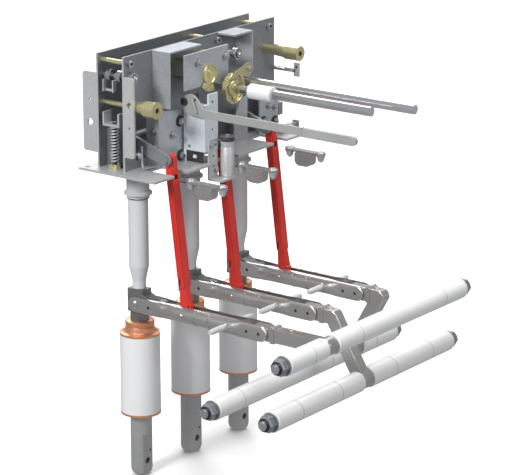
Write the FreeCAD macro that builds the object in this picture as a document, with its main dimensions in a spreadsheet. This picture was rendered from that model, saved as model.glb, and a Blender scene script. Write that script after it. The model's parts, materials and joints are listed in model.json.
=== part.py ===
import FreeCAD, Part
import math
import os
import Sketcher

# Switching module of a ring main unit. Millimetres, +X forwards, +Y along the row of phases, +Z up.
# The origin is the middle of the four base plate bolts, on the underside of the base plate.

# Phases and the sheet-metal frame
phase_pitch = 100
sheet_gauge = 2.5
base_gauge = 3
slide_gap = 0.04
face_gap = 0.3
base_rear = -52
base_front = 68
base_left = -150
base_right = 172
base_bolt_x = 44
base_bolt_y = 142
base_hole_radius = 3.3
notch_back = 27
notch_half = 13
stem_hole_radius = 7
cutout_back = 61
cutout_left = -43
frame_left = -134.5
frame_right = 166
frame_top = 144
rear_plate_x = -34
front_plate_x = 6.5
flange_bottom = 21
flange_top = 120
rear_flange_reach = 22
front_flange_reach = 15
flange_corner = 4
flange_high_hole = 86
flange_low_hole = 58
flange_big_radius = 4
flange_small_radius = 1.6
window_low = 12
window_high = 74
window_left = 13
window_right = 9
shaft_left = -120
shaft_right = 158

# Spacers, stand-offs and fasteners of the frame
spacer_radius = 3
spacer_z = 135
spacer_left_y = -125
spacer_mid_y = 45
spacer_right_y = 152
screw_head_radius = 4.2
screw_head_height = 5
nut_radius = 5
nut_height = 4
standoff_left_y = -124.4
standoff_left_z = 83
standoff_left_length = 43
standoff_left_radius = 10.3
standoff_right_y = 146
standoff_right_z = 107
standoff_right_length = 56
standoff_right_radius = 9.5
standoff_neck_radius = 6.5
standoff_bore_radius = 3.3
standoff_bore_depth = 20

# Brackets in front of the frame
bridge_front = 36
bridge_left_y = -81
bridge_left_width = 63
bridge_left_low = 74
bridge_right_y = 48
bridge_right_width = 38
bridge_right_low = 93
carriage_x = 42
carriage_left = -62
carriage_right = 24
carriage_low = 94
carriage_high = 138
carriage_nut_y = 37
carriage_nut_z = 124
carriage_low_nut_z = 102
carriage_post_radius = 4
support_x = 25
support_left = -92
support_right = -43
support_high = 66
support_side_high = 72
quadrant_left = 58
quadrant_right = 85
quadrant_low = 32
quadrant_high = 60
far_support_left = 110
far_support_right = 150
far_support_high = 48

# Interlock box, damper and their bracket
box_rear = 30
box_front = 62
box_left = -46
box_width = 8
box_low = 17
box_high = 75
strip_right = -20
strip_low = 16
strip_high = 88
foot_front = 50
bracket_left = -41
bracket_right = -7.5
bracket_top = 32
bracket_low = -19
tray_front = 83
strip_width = 17
damper_x = 73
damper_y = -15.5
damper_radius = 8.5
damper_top = 28
damper_cap_radius = 9.5

# Change-over linkage
shaft_x = -8
shaft_z = 37
shaft_radius = 6
hub_radius = 9
crank_gauge = 4
crank_offset = 8.7
crank_half = 7
crank_bolt_height = 3.2
rod_top_x = 52
rod_top_z = 19
rod_pin_radius = 3
tab_radius = 6.5
tab_half = 4
rod_width = 13
rod_depth = 9
rod_wall = 2.2
tab_length = 12
foot_length = 34
foot_eye_radius = 5.2
arm_z = -172.5
crank_reach = 76
blade_height = 20
blade_gauge = 2.5
head_half = 8.7
pivot_radius = 4
contact_half = 7.7
tip_reach = 194
blade_back = 9
barrel_inner = 8.8
barrel_rise = 4
dome_rise = 5.5
flat_end = 32
dome_middle = 44
barrel_start = 56
barrel_end = 160
tip_start = 168
blade_hole_x = 23
bar_pin_x = 143
bar_pin_radius = 3.8
bar_pin_reach = 42
tip_hole_x = 174
blade_rivet_radius = 2

# Interrupters, heads and push rods
ceramic_radius = 25
ceramic_top = -212
ceramic_bottom = -313
cup_radius = 18.3
cup_top = -194
rim_height = 3
collar_radius = 12.5
collar_top = -183
head_top = -153
head_depth = 24
wedge_front = 34
terminal_radius = 13.5
terminal_bottom = -398
flat_top = -343
flat_x = 10
terminal_round = 8
terminal_hole_z = -379
terminal_hole_radius = 4.25
terminal_hole_depth = 18
push_radius = 12.5
push_top = -12
push_cone_top = -124
push_cone_low = -143
push_neck_radius = 8.5
push_seat = 12
stem_radius = 5
guide_length = 37
guide_radius = 14.2
guide_flange_radius = 17.5
lever_shaft_x = -22
lever_shaft_z = 17
lever_shaft_radius = 5
lever_drop = 4
lever_gauge = 2
eye_half = 3
eye_radius = 5
lever_pin_radius = 2

# Busbars and contacts
bar_top_x = 285
bar_top_z = -172
bar_front_x = 267
bar_front_z = -245
bar_rear_x = 181
bar_rear_z = -249
bar_radius = 8
sleeve_radius = 13
sleeve_half = 186
bar_stud_length = 15
bar_core_past = 5
joint_half = 10
eye_outer = 11.5
tail_half = 9
tail_knee_x = 224
bar_nut_radius = 11.5
bar_nut_height = 8
bar_stud_radius = 6
earth_x = 107
earth_z = -15
earth_half = 15
earth_height = 18
strap_half = 24
strap_radius = 6
strap_gauge = 3

# Operating rods, cams, hand lever and spring
rod_radius = 6
upper_rod_y = 50
upper_rod_z = 87.5
upper_rod_front = 304
lower_rod_y = 19
lower_rod_z = 85
lower_rod_front = 263
bush_rear = 83
bush_front = 117
bush_radius = 9.5
wheel_x = 52.5
wheel_width = 7
wheel_radius = 19.5
disc_y = -15
disc_z = 108
disc_radius = 13
cam_x = 38
cam_tip_y = 71
cam_tip_z = 98
lever_y = -50
lever_gauge_y = 3
lever_pivot_x = 45
lever_pivot_z = 76
lever_x = 64
lever_z = 67
lever_half = 5
grip_start = 218
grip_end = 286
grip_half = 5.6
grip_gauge = 5
spring_x = -12
spring_y = -128
spring_low = 10
spring_high = 55
coil_radius = 4.6
wire_radius = 1
turns = 12
seat_half = 13
seat_height = 17
seat_width = 14
guide_rod_radius = 2.4
roller_y = -124
roller_z = 117
roller_radius = 7.5
roller_width = 7
roller_shaft_radius = 3

DIMENSIONS = {name: value for name, value in list(globals().items())
              if name[0].islower() and type(value) in (int, float)}

doc = FreeCAD.newDocument("RingMainUnit")
sheet = doc.addObject("Spreadsheet::Sheet", "Sizes")
NODES = []


class Size:
    """A length or an angle: its value, and the sheet expression that it comes from."""

    def __init__(self, value, text):
        self.value = float(value)
        self.text = text

    def joined(self, other, sign, value):
        return Size(value, "(%s %s %s)" % (self.text, sign, words(other)))

    def __add__(self, other):
        return self.joined(other, "+", self.value + number(other))

    def __sub__(self, other):
        return self.joined(other, "-", self.value - number(other))

    def __mul__(self, other):
        return self.joined(other, "*", self.value * number(other))

    def __truediv__(self, other):
        return self.joined(other, "/", self.value / number(other))

    def __neg__(self):
        return Size(-self.value, "(0 - %s)" % self.text)


def number(amount):
    return amount.value if isinstance(amount, Size) else float(amount)


def words(amount):
    return amount.text if isinstance(amount, Size) else "(%r)" % float(amount)


def root_of(amount):
    return Size(math.sqrt(amount.value), "sqrt(%s)" % amount.text)


def angle_of(rise, run):
    """Angle in degrees of a slope, from its rise and its run."""
    return Size(math.degrees(math.atan2(rise.value, run.value)), "atan2(%s; %s)" % (rise.text, run.text))


class Sizes:
    """The driving dimensions, one attribute for each cell of the sheet."""

    def __init__(self, dimensions):
        for row, (alias, value) in enumerate(dimensions.items(), 1):
            sheet.set("A%d" % row, alias)
            sheet.set("B%d" % row, str(value))
            sheet.setAlias("B%d" % row, alias)
            setattr(self, alias, Size(value, "Sizes." + alias))


size = Sizes(DIMENSIONS)
doc.recompute()

PLANES = {"XY": "XY_Plane", "XZ": "XZ_Plane", "YZ": "YZ_Plane"}
TURN_TO = {"X": FreeCAD.Rotation(FreeCAD.Vector(0, 1, 0), 90), "Z": FreeCAD.Rotation(),
           "Y": FreeCAD.Rotation(FreeCAD.Vector(1, 0, 0), -90)}


# Helpers for binding, sketching and placing

def bind(item, field, amount):
    """Set one number of an object, and tie it to the sheet where it comes from there."""
    if isinstance(amount, Size):
        item.setExpression(field, amount.text)


def place(item, x=0, y=0, z=0, along="Z"):
    """Put an object at a point, with its own Z axis along the named axis."""
    spot = FreeCAD.Vector(number(x), number(y), number(z))
    item.Placement = FreeCAD.Placement(spot, TURN_TO[along])
    for field, amount in (("x", x), ("y", y), ("z", z)):
        bind(item, "Placement.Base." + field, amount)
    return item


def node(item, name):
    """Keep an object as a piece of the assembly, under the name of its file."""
    item.Label = name
    NODES.append(item)
    return item


def new_body(name):
    return doc.addObject("PartDesign::Body", name)


def new_sketch(body, plane, offset=0):
    """A sketch on one of the body's own origin planes, moved along that plane's normal."""
    sketch = body.newObject("Sketcher::SketchObject", "Sketch")
    origin = [item for item in body.Origin.OriginFeatures if item.Role == PLANES[plane]][0]
    sketch.AttachmentSupport = [(origin, "")]
    sketch.MapMode = "FlatFace"
    sketch.AttachmentOffset = FreeCAD.Placement(FreeCAD.Vector(0, 0, number(offset)), FreeCAD.Rotation())
    bind(sketch, "AttachmentOffset.Base.z", offset)
    return sketch


def fix(sketch, kind, *places_and_amount):
    """Add one dimension to a sketch and tie it to the sheet."""
    amount = places_and_amount[-1]
    index = sketch.addConstraint(Sketcher.Constraint(kind, *places_and_amount[:-1], number(amount)))
    bind(sketch, "Constraints[%d]" % index, amount)


def fix_point(sketch, curve, end, point):
    fix(sketch, "DistanceX", -1, 1, curve, end, point[0])
    fix(sketch, "DistanceY", -1, 1, curve, end, point[1])


def polygon(sketch, corners):
    """A closed outline of straight edges through the corners."""
    spots = [FreeCAD.Vector(number(x), number(y), 0) for x, y in corners]
    first = sketch.GeometryCount
    count = len(spots)
    for index in range(count):
        sketch.addGeometry(Part.LineSegment(spots[index], spots[(index + 1) % count]), False)
    for index in range(count):
        following = first + (index + 1) % count
        sketch.addConstraint(Sketcher.Constraint("Coincident", first + index, 2, following, 1))
        fix_point(sketch, first + index, 1, corners[index])


def rectangle(sketch, left, low, right, high):
    polygon(sketch, [(left, low), (right, low), (right, high), (left, high)])


def circle(sketch, centre, radius):
    spot = FreeCAD.Vector(number(centre[0]), number(centre[1]), 0)
    curve = sketch.addGeometry(Part.Circle(spot, FreeCAD.Vector(0, 0, 1), number(radius)), False)
    fix_point(sketch, curve, 3, centre)
    fix(sketch, "Radius", curve, radius)


def capsule(sketch, start, end, start_radius, end_radius):
    """An outline with a round end about each of two points, joined by two tangent edges."""
    a = FreeCAD.Vector(number(start[0]), number(start[1]), 0)
    b = FreeCAD.Vector(number(end[0]), number(end[1]), 0)
    slope = math.atan2(b.y - a.y, b.x - a.x)
    lean = math.acos((number(start_radius) - number(end_radius)) / a.distanceToPoint(b))
    sides = [slope + lean, slope - lean]
    up = FreeCAD.Vector(0, 0, 1)

    def rim(centre, radius, angle):
        return centre + FreeCAD.Vector(math.cos(angle), math.sin(angle), 0) * number(radius)

    first = sketch.GeometryCount
    sketch.addGeometry(Part.ArcOfCircle(Part.Circle(a, up, number(start_radius)), sides[0],
                                        sides[1] + 2 * math.pi), False)
    sketch.addGeometry(Part.LineSegment(rim(a, start_radius, sides[1]), rim(b, end_radius, sides[1])), False)
    sketch.addGeometry(Part.ArcOfCircle(Part.Circle(b, up, number(end_radius)), sides[1], sides[0]), False)
    sketch.addGeometry(Part.LineSegment(rim(b, end_radius, sides[0]), rim(a, start_radius, sides[0])), False)
    for curve in range(4):
        following = first + (curve + 1) % 4
        sketch.addConstraint(Sketcher.Constraint("Tangent", first + curve, 2, following, 1))
    fix_point(sketch, first, 3, start)
    fix_point(sketch, first + 2, 3, end)
    fix(sketch, "Radius", first, start_radius)
    fix(sketch, "Radius", first + 2, end_radius)


def pad(body, sketch, thickness):
    """Thicken a closed sketch along its plane's normal."""
    feature = body.newObject("PartDesign::Pad", "Pad")
    feature.Profile = sketch
    feature.Length = number(thickness)
    bind(feature, "Length", thickness)
    sketch.Visibility = False
    return feature


def pocket(body, sketch, depth, reverse=False):
    """Cut a closed sketch into the body, and check that it takes material away."""
    doc.recompute()
    before = body.Shape.Volume
    feature = body.newObject("PartDesign::Pocket", "Pocket")
    feature.Profile = sketch
    feature.Length = number(depth)
    feature.Reversed = reverse
    bind(feature, "Length", depth)
    doc.recompute()
    if body.Shape.Volume >= before:
        raise RuntimeError("A pocket in %s cuts nothing" % body.Name)
    return feature


def slab(name, plane, offset, thickness, draw):
    """A body made of one padded sketch, which the draw function fills."""
    body = new_body(name)
    sketch = new_sketch(body, plane, offset)
    draw(sketch)
    pad(body, sketch, thickness)
    return body


def extra(body, plane, offset, thickness, draw):
    """Another padded sketch, joined to the same body."""
    sketch = new_sketch(body, plane, offset)
    draw(sketch)
    pad(body, sketch, thickness)


def turned(name, profile, along="Z"):
    """A body of revolution: profile points are (radius, height) along the axis."""
    body = new_body(name)
    sketch = new_sketch(body, "XZ")
    polygon(sketch, profile)
    spin = body.newObject("PartDesign::Revolution", "Revolution")
    spin.Profile = sketch
    spin.ReferenceAxis = (sketch, ["V_Axis"])
    spin.Angle = 360
    body.Placement = FreeCAD.Placement(FreeCAD.Vector(), TURN_TO[along])
    return body


def round_edges(body, radius, chosen):
    """Fillet the edges whose midpoint and direction the chosen function accepts."""
    doc.recompute()
    names = []
    for index, edge in enumerate(body.Shape.Edges):
        if len(edge.Vertexes) == 2 and edge.Curve.TypeId == "Part::GeomLine":
            span = edge.Vertexes[1].Point - edge.Vertexes[0].Point
            middle = (edge.Vertexes[1].Point + edge.Vertexes[0].Point) * 0.5
            if chosen(middle, span):
                names.append("Edge%d" % (index + 1))
    base = body.Tip
    fillet = body.newObject("PartDesign::Fillet", "Fillet")
    fillet.Base = (base, names)
    fillet.Radius = number(radius)
    bind(fillet, "Radius", radius)
    return fillet


def rod(name, radius, length, x=0, y=0, z=0, along="Z"):
    item = doc.addObject("Part::Cylinder", name)
    item.Radius = number(radius)
    item.Height = number(length)
    bind(item, "Radius", radius)
    bind(item, "Height", length)
    return place(item, x, y, z, along)


def hexagon(name, radius, length, x=0, y=0, z=0, along="Z"):
    item = doc.addObject("Part::Prism", name)
    item.Polygon = 6
    item.Circumradius = number(radius)
    item.Height = number(length)
    bind(item, "Circumradius", radius)
    bind(item, "Height", length)
    return place(item, x, y, z, along)


def fused(name, parts):
    item = doc.addObject("Part::MultiFuse", name)
    item.Shapes = parts
    return item


def together(name, parts):
    """Separate solids that belong to one node."""
    item = doc.addObject("Part::Compound", name)
    item.Links = parts
    return item


PHASES = (("a", -1), ("b", 0), ("c", 1))


def phase_y(step):
    return size.phase_pitch * step


# Frame

def base_plate():
    """Base plate: an open notch for each drive rod, a cut-out for the damper, stem holes and bolt holes."""
    def draw(sketch):
        corners = [(size.base_front, size.base_right), (size.base_rear, size.base_right),
                   (size.base_rear, size.base_left), (size.base_front, size.base_left)]
        for _, step in PHASES:
            side = phase_y(step) - size.notch_half
            if step == 0:
                corners += [(size.base_front, size.cutout_left), (size.cutout_back, size.cutout_left),
                            (size.cutout_back, side)]
            else:
                corners.append((size.base_front, side))
            corners.append((size.notch_back, side))
            corners.append((size.notch_back, phase_y(step) + size.notch_half))
            corners.append((size.base_front, phase_y(step) + size.notch_half))
        polygon(sketch, corners)
        for _, step in PHASES:
            circle(sketch, (0, phase_y(step)), size.stem_hole_radius)
        for side_x in (-1, 1):
            for side_y in (-1, 1):
                circle(sketch, (size.base_bolt_x * side_x, size.base_bolt_y * side_y), size.base_hole_radius)
    node(slab("BasePlate", "XY", 0, size.base_gauge, draw), "base_plate")


def is_flange_corner(reach_axis_limit):
    """Pick the corner edges of a side flange, which run across its thickness."""
    def chosen(middle, span):
        across = abs(span.y) > 0.9 * size.sheet_gauge.value and abs(span.x) + abs(span.z) < 0.01
        return across and abs(middle.x - reach_axis_limit) < 0.01
    return chosen


def rear_plate():
    """Rear frame plate with a mounting flange bent back at its left end."""
    def draw(sketch):
        rectangle(sketch, size.frame_left, size.base_gauge, size.frame_right, size.frame_top)
    body = slab("RearPlate", "YZ", size.rear_plate_x, size.sheet_gauge, draw)
    reach = size.rear_plate_x - size.rear_flange_reach

    def flange(sketch):
        rectangle(sketch, reach, size.flange_bottom, size.rear_plate_x, size.flange_top)
        middle = size.rear_plate_x - size.rear_flange_reach / 2
        circle(sketch, (middle, size.flange_high_hole), size.flange_small_radius)
        circle(sketch, (middle, size.flange_low_hole), size.flange_big_radius)
    extra(body, "XZ", -(size.frame_left + size.sheet_gauge), size.sheet_gauge, flange)
    round_edges(body, size.flange_corner, is_flange_corner(reach.value))
    node(body, "rear_plate")


def front_plate():
    """Front frame plate: windows for the cranks, bearing holes, and a flange bent forwards at the left."""
    front = size.front_plate_x + size.sheet_gauge
    reach = front + size.front_flange_reach

    def draw(sketch):
        rectangle(sketch, size.frame_left, size.base_gauge, size.frame_right, size.frame_top)
        for _, step in PHASES:
            middle = phase_y(step)
            rectangle(sketch, middle - size.window_left, size.window_low,
                      middle + size.window_right, size.window_high)
        for y, z in ((size.upper_rod_y, size.upper_rod_z), (size.lower_rod_y, size.lower_rod_z)):
            circle(sketch, (y, z), size.rod_radius + size.slide_gap)
        circle(sketch, (size.roller_y, size.roller_z), size.roller_shaft_radius + size.slide_gap)
    body = slab("FrontPlate", "YZ", size.front_plate_x, size.sheet_gauge, draw)

    def flange(sketch):
        rectangle(sketch, front, size.flange_bottom, reach, size.flange_top)
        middle = front + size.front_flange_reach / 2
        circle(sketch, (middle, size.flange_high_hole), size.flange_big_radius)
        circle(sketch, (middle, size.flange_low_hole), size.flange_small_radius)
    extra(body, "XZ", -(size.frame_left + size.sheet_gauge), size.sheet_gauge, flange)
    round_edges(body, size.flange_corner, is_flange_corner(reach.value))
    node(body, "front_plate")


SPACER_SPOTS = (("Left", size.spacer_left_y, size.spacer_z), ("Mid", size.spacer_mid_y, size.spacer_z),
                ("Right", size.spacer_right_y, size.spacer_z),
                ("LeftStandoff", size.standoff_left_y, size.standoff_left_z),
                ("RightStandoff", size.standoff_right_y, size.standoff_right_z))


CARRIAGE_SPOTS = (("Outer", -size.carriage_nut_y, size.carriage_nut_z),
                  ("Inner", size.lower_rod_y - 2, size.carriage_nut_z),
                  ("Low", -size.carriage_nut_y, size.carriage_low_nut_z))


def spacer_rods():
    """Round spacers between the frame plates, and posts between the front plate and the carriage plate."""
    start = size.rear_plate_x + size.sheet_gauge
    rods = [rod("Spacer" + name, size.spacer_radius, size.front_plate_x - start, start, y, z, "X")
            for name, y, z in SPACER_SPOTS]
    face = size.front_plate_x + size.sheet_gauge
    rods += [rod("Post" + name, size.carriage_post_radius, size.carriage_x - face, face, y, z, "X")
             for name, y, z in CARRIAGE_SPOTS]
    node(together("SpacerRods", rods), "spacer_rods")


def standoff(name, y, z, length, radius):
    """Stepped tube that stands forwards from the front plate, with a bore in its free end."""
    end = length
    step = length * 0.62
    bore = size.standoff_bore_radius
    inner = end - size.standoff_bore_depth
    body = turned(name, [(0, 0), (size.standoff_neck_radius, 0), (size.standoff_neck_radius, length * 0.25),
                         (radius * 0.86, step), (radius, step), (radius, end), (bore, end),
                         (bore, inner), (0, inner)], "X")
    place(body, size.front_plate_x + size.sheet_gauge, y, z, "X")
    return body


def standoffs():
    left = standoff("StandoffLeft", size.standoff_left_y, size.standoff_left_z,
                    size.standoff_left_length, size.standoff_left_radius)
    right = standoff("StandoffRight", size.standoff_right_y, size.standoff_right_z,
                     size.standoff_right_length, size.standoff_right_radius)
    node(together("Standoffs", [left, right]), "standoffs")


# Brackets

def bridge_bracket(name, left, width, low, wall_at_left):
    """Bent bracket on the front plate: a top flange, and a side wall that stands edge-on to the front."""
    rear = size.front_plate_x + size.sheet_gauge
    wall_left = left if wall_at_left else left + width - size.sheet_gauge

    def wall(sketch):
        rectangle(sketch, rear, low, size.bridge_front, size.frame_top)
    body = slab(name, "XZ", -(wall_left + size.sheet_gauge), size.sheet_gauge, wall)

    def roof(sketch):
        rectangle(sketch, rear, left, size.bridge_front, left + width)
    extra(body, "XY", size.frame_top - size.sheet_gauge, size.sheet_gauge, roof)
    return body


def bridge_brackets():
    left = bridge_bracket("BridgeLeft", size.bridge_left_y, size.bridge_left_width,
                          size.bridge_left_low, True)
    right = bridge_bracket("BridgeRight", size.bridge_right_y, size.bridge_right_width,
                           size.bridge_right_low, False)
    node(left, "bridge_bracket_left")
    node(right, "bridge_bracket_right")


def carriage_plate():
    """Plate that carries the cam disc, held off the front plate by posts."""
    def draw(sketch):
        rectangle(sketch, size.carriage_left, size.carriage_low, size.carriage_right, size.carriage_high)
    node(slab("CarriagePlate", "YZ", size.carriage_x, size.sheet_gauge, draw), "carriage_plate")


def fasteners():
    """Screws at the ends of the top spacers, and nuts on the carriage plate and the support plates."""
    front = size.front_plate_x + size.sheet_gauge
    screws = [rod("FrameScrew" + name, size.screw_head_radius, size.screw_head_height, front, y, z, "X")
              for name, y, z in SPACER_SPOTS[:3]]
    nuts = [hexagon("CarriageNut" + name, size.nut_radius, size.nut_height,
                    size.carriage_x + size.sheet_gauge, y, z, "X") for name, y, z in CARRIAGE_SPOTS[:2]]
    face = size.support_x + size.sheet_gauge
    for name, y, z in (("High", size.support_right - 9, size.support_high - 13),
                       ("Low", size.support_right - 8, size.base_gauge + 7),
                       ("Middle", size.support_right - 23, size.support_high / 2 + 5),
                       ("Far", size.far_support_left + 8, size.base_gauge + 16),
                       ("FarRight", size.far_support_right - 8, size.base_gauge + 12)):
        nuts.append(hexagon("SupportNut" + name, size.nut_radius, size.nut_height, face, y, z, "X"))
    node(together("Fasteners", screws + nuts), "fasteners")


def support_plate(name, outline, side_y, side_high):
    """Upright plate in front of the shaft, with a side wall back to the front plate."""
    body = slab(name, "YZ", size.support_x, size.sheet_gauge, lambda sketch: polygon(sketch, outline))

    def side(sketch):
        rectangle(sketch, size.front_plate_x + size.sheet_gauge, size.base_gauge, size.support_x, side_high)
    extra(body, "XZ", -(side_y + size.sheet_gauge), size.sheet_gauge, side)
    return body


def support_plates():
    low = size.base_gauge
    left = support_plate("SupportLeft", [(size.support_left, low), (size.support_right, low),
                                         (size.support_right, size.support_high),
                                         (size.support_left, size.support_side_high)],
                         size.support_left + size.face_gap, size.support_side_high - size.face_gap)
    node(left, "support_plate_left")
    quadrant = support_plate("Quadrant", [(size.quadrant_left, low), (size.quadrant_right, low),
                                          (size.quadrant_right, size.quadrant_high),
                                          (size.quadrant_left + 12, size.quadrant_high - 4),
                                          (size.quadrant_left, size.quadrant_low)],
                             size.quadrant_left + 14, size.quadrant_low)
    node(quadrant, "quadrant_plate")
    right = support_plate("SupportRight", [(size.far_support_left, low), (size.far_support_right, low),
                                           (size.far_support_right, size.far_support_high),
                                           (size.far_support_left, size.far_support_high + 6)],
                          size.far_support_right - size.sheet_gauge, size.far_support_high)
    node(right, "support_plate_right")


def interlock_box():
    """Flat upright box that guards the hand lever's linkage, with a drilled strip at its front."""
    right = size.box_left + size.box_width

    def side(sketch):
        rectangle(sketch, size.box_rear, size.box_low, size.box_front, size.box_high)
    body = slab("InterlockBox", "XZ", -right, size.box_width, side)

    def strip(sketch):
        rectangle(sketch, right, size.strip_low, size.strip_right, size.strip_high)
        circle(sketch, (right + 7, size.box_high - 32), size.flange_small_radius)
    extra(body, "YZ", size.box_front - size.sheet_gauge, size.sheet_gauge, strip)
    node(body, "interlock_box")


def box_foot():
    """Upright plate that carries the interlock box on the base plate."""
    def draw(sketch):
        polygon(sketch, [(size.box_rear, size.base_gauge), (size.foot_front, size.base_gauge),
                         (size.foot_front, size.box_low), (size.box_rear, size.box_low)])
    node(slab("BoxFoot", "XZ", -(size.box_left + size.sheet_gauge), size.sheet_gauge, draw), "box_foot")


def damper_bracket():
    """Bracket bolted on the drilled strip: an upright leg and a tray under the damper."""
    def leg(sketch):
        rectangle(sketch, size.bracket_left, size.bracket_low,
                  size.bracket_left + size.strip_width, size.bracket_top)
        middle = size.bracket_left + size.strip_width / 2
        circle(sketch, (middle, size.bracket_top / 3), size.flange_small_radius)
    body = slab("DamperBracket", "YZ", size.box_front, size.sheet_gauge, leg)

    def tray(sketch):
        rectangle(sketch, size.box_front, size.bracket_left, size.tray_front, size.bracket_right)
    extra(body, "XY", size.bracket_low, size.sheet_gauge, tray)
    round_edges(body, size.flange_corner, lambda middle, span: abs(span.z) > 0.9 * size.sheet_gauge.value
                and abs(span.x) + abs(span.y) < 0.01 and middle.x > size.tray_front.value - 0.01)
    node(body, "damper_bracket")


def damper():
    """Upright damper with a stack of leaf washers on top."""
    low = size.bracket_low + size.sheet_gauge
    top = size.damper_top
    radius = size.damper_radius
    cap = size.damper_cap_radius
    body = turned("Damper", [(0, low), (radius, low), (radius, top), (cap, top), (cap, top + 1.5),
                             (radius, top + 1.5), (radius, top + 3), (cap, top + 3), (cap, top + 4.5),
                             (radius * 0.6, top + 4.5), (radius * 0.6, top + 8), (0, top + 8)])
    node(place(body, size.damper_x, size.damper_y, 0), "damper")


# Change-over shaft and drive rods

def changeover_shaft():
    """Shaft across the frame with one welded crank for each phase and a pin in each crank."""
    length = size.shaft_right - size.shaft_left
    pieces = [rod("ChangeoverBar", size.shaft_radius, length, size.shaft_x,
                  size.shaft_left, size.shaft_z, "Y")]
    for name, step in PHASES:
        face = phase_y(step) - size.crank_offset + size.crank_gauge / 2
        crank = new_body("Crank" + name.upper())
        sketch = new_sketch(crank, "XZ")
        capsule(sketch, (size.shaft_x, size.shaft_z), (size.rod_top_x, size.rod_top_z),
                size.hub_radius, size.crank_half)
        pad(crank, sketch, size.crank_gauge)
        place(crank, 0, face, 0)
        pieces.append(crank)
        pin_start = phase_y(step) - size.crank_offset - size.crank_gauge / 2
        pin_length = size.crank_offset + size.crank_gauge / 2 + size.tab_half + 1.2
        pieces.append(rod("CrankPin" + name.upper(), size.rod_pin_radius, pin_length,
                          size.rod_top_x, pin_start, size.rod_top_z, "Y"))
        pieces.append(hexagon("CrankBolt" + name.upper(), size.nut_radius, size.crank_bolt_height,
                              size.rod_top_x, pin_start - size.crank_bolt_height, size.rod_top_z, "Y"))
    node(fused("ChangeoverShaft", pieces), "changeover_shaft")


def shaft_bearings():
    """Bearing blocks that carry the two cross shafts between the frame plates."""
    rear = size.rear_plate_x + size.sheet_gauge
    pieces = []
    for name, low in (("Left", size.shaft_left), ("Right", size.shaft_right - 8)):
        sketch_body = new_body("Bearing" + name)
        sketch = new_sketch(sketch_body, "XZ", -(low + 8))
        polygon(sketch, [(rear, size.base_gauge), (size.front_plate_x, size.base_gauge),
                         (size.front_plate_x, size.shaft_z + 12), (rear, size.shaft_z + 12)])
        circle(sketch, (size.shaft_x, size.shaft_z), size.shaft_radius + size.slide_gap)
        circle(sketch, (size.lever_shaft_x, size.lever_shaft_z), size.lever_shaft_radius + size.slide_gap)
        pad(sketch_body, sketch, 8)
        pieces.append(sketch_body)
    node(together("ShaftBearings", pieces), "shaft_bearings")


ROD_RUN = size.rod_top_x - size.crank_reach
ROD_RISE = size.rod_top_z - size.arm_z
ROD_LENGTH = root_of(ROD_RUN * ROD_RUN + ROD_RISE * ROD_RISE)
ROD_LEAN = angle_of(ROD_RUN, ROD_RISE)


def drive_rod(name, step):
    """Moulded drive rod: an open channel with a rib, a narrow eyed tab on top and an eyed foot."""
    half = size.rod_width / 2
    deep = size.rod_depth / 2
    body = new_body("DriveRod" + name.upper())
    shoulder = ROD_LENGTH - size.tab_length
    web = size.rod_wall
    sketch = new_sketch(body, "XY", size.foot_length)
    polygon(sketch, [(-deep, -half), (deep, -half), (deep, -half + web), (-deep + web, -half + web),
                     (-deep + web, -web / 2), (deep - web, -web / 2), (deep - web, web / 2),
                     (-deep + web, web / 2), (-deep + web, half - web), (deep, half - web),
                     (deep, half), (-deep, half)])
    pad(body, sketch, shoulder - size.foot_length)

    def tab(side):
        capsule(side, (0, shoulder - 4), (0, ROD_LENGTH), size.tab_radius * 0.8, size.tab_radius)
        circle(side, (0, ROD_LENGTH), size.rod_pin_radius + size.slide_gap)
    extra(body, "XZ", -size.tab_half, size.tab_half * 2, tab)

    def foot(side):
        capsule(side, (0, 0), (0, size.foot_length + 4), size.foot_eye_radius + 2.6, deep)
        circle(side, (0, 0), size.foot_eye_radius)
    extra(body, "XZ", -(half - web), (half - web) * 2, foot)
    place_leaning(body, step)
    node(body, "drive_rod_" + name)


def place_leaning(body, step):
    """Stand a drive rod on its arm pin, leaning back to its crank pin."""
    spot = FreeCAD.Vector(size.crank_reach.value, number(phase_y(step)), size.arm_z.value)
    body.Placement = FreeCAD.Placement(spot, FreeCAD.Rotation(FreeCAD.Vector(0, 1, 0), ROD_LEAN.value))
    bind(body, "Placement.Base.x", size.crank_reach)
    bind(body, "Placement.Base.y", phase_y(step))
    bind(body, "Placement.Base.z", size.arm_z)
    bind(body, "Placement.Rotation.Angle", ROD_LEAN)


# Change-over arms

def blade_section(body, x, inner, rise):
    """One cross-section of a pressed blade: two arcs a sheet apart, closed top and bottom."""
    sketch = new_sketch(body, "YZ", x)
    high = size.blade_height / 2
    outer = inner + size.blade_gauge
    radius = (high * high + rise * rise) / (rise * 2)
    centre_in = inner + rise - radius
    centre_out = outer + rise - radius
    turn = math.asin(high.value / radius.value)
    up = FreeCAD.Vector(0, 0, 1)
    for centre in (centre_out, centre_in):
        ring = Part.Circle(FreeCAD.Vector(centre.value, 0, 0), up, radius.value)
        sketch.addGeometry(Part.ArcOfCircle(ring, -turn, turn), False)
    for side in (-1, 1):
        sketch.addGeometry(Part.LineSegment(FreeCAD.Vector(inner.value, side * high.value, 0),
                                            FreeCAD.Vector(outer.value, side * high.value, 0)), False)
    for arc, end_low, end_high in ((0, 2, 2), (1, 1, 1)):
        sketch.addConstraint(Sketcher.Constraint("Coincident", 2, end_low, arc, 1))
        sketch.addConstraint(Sketcher.Constraint("Coincident", 3, end_high, arc, 2))
    for arc, face in ((0, outer), (1, inner)):
        fix_point(sketch, arc, 1, (face, -high))
        fix_point(sketch, arc, 2, (face, high))
        fix(sketch, "Radius", arc, radius)
    return sketch


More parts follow.
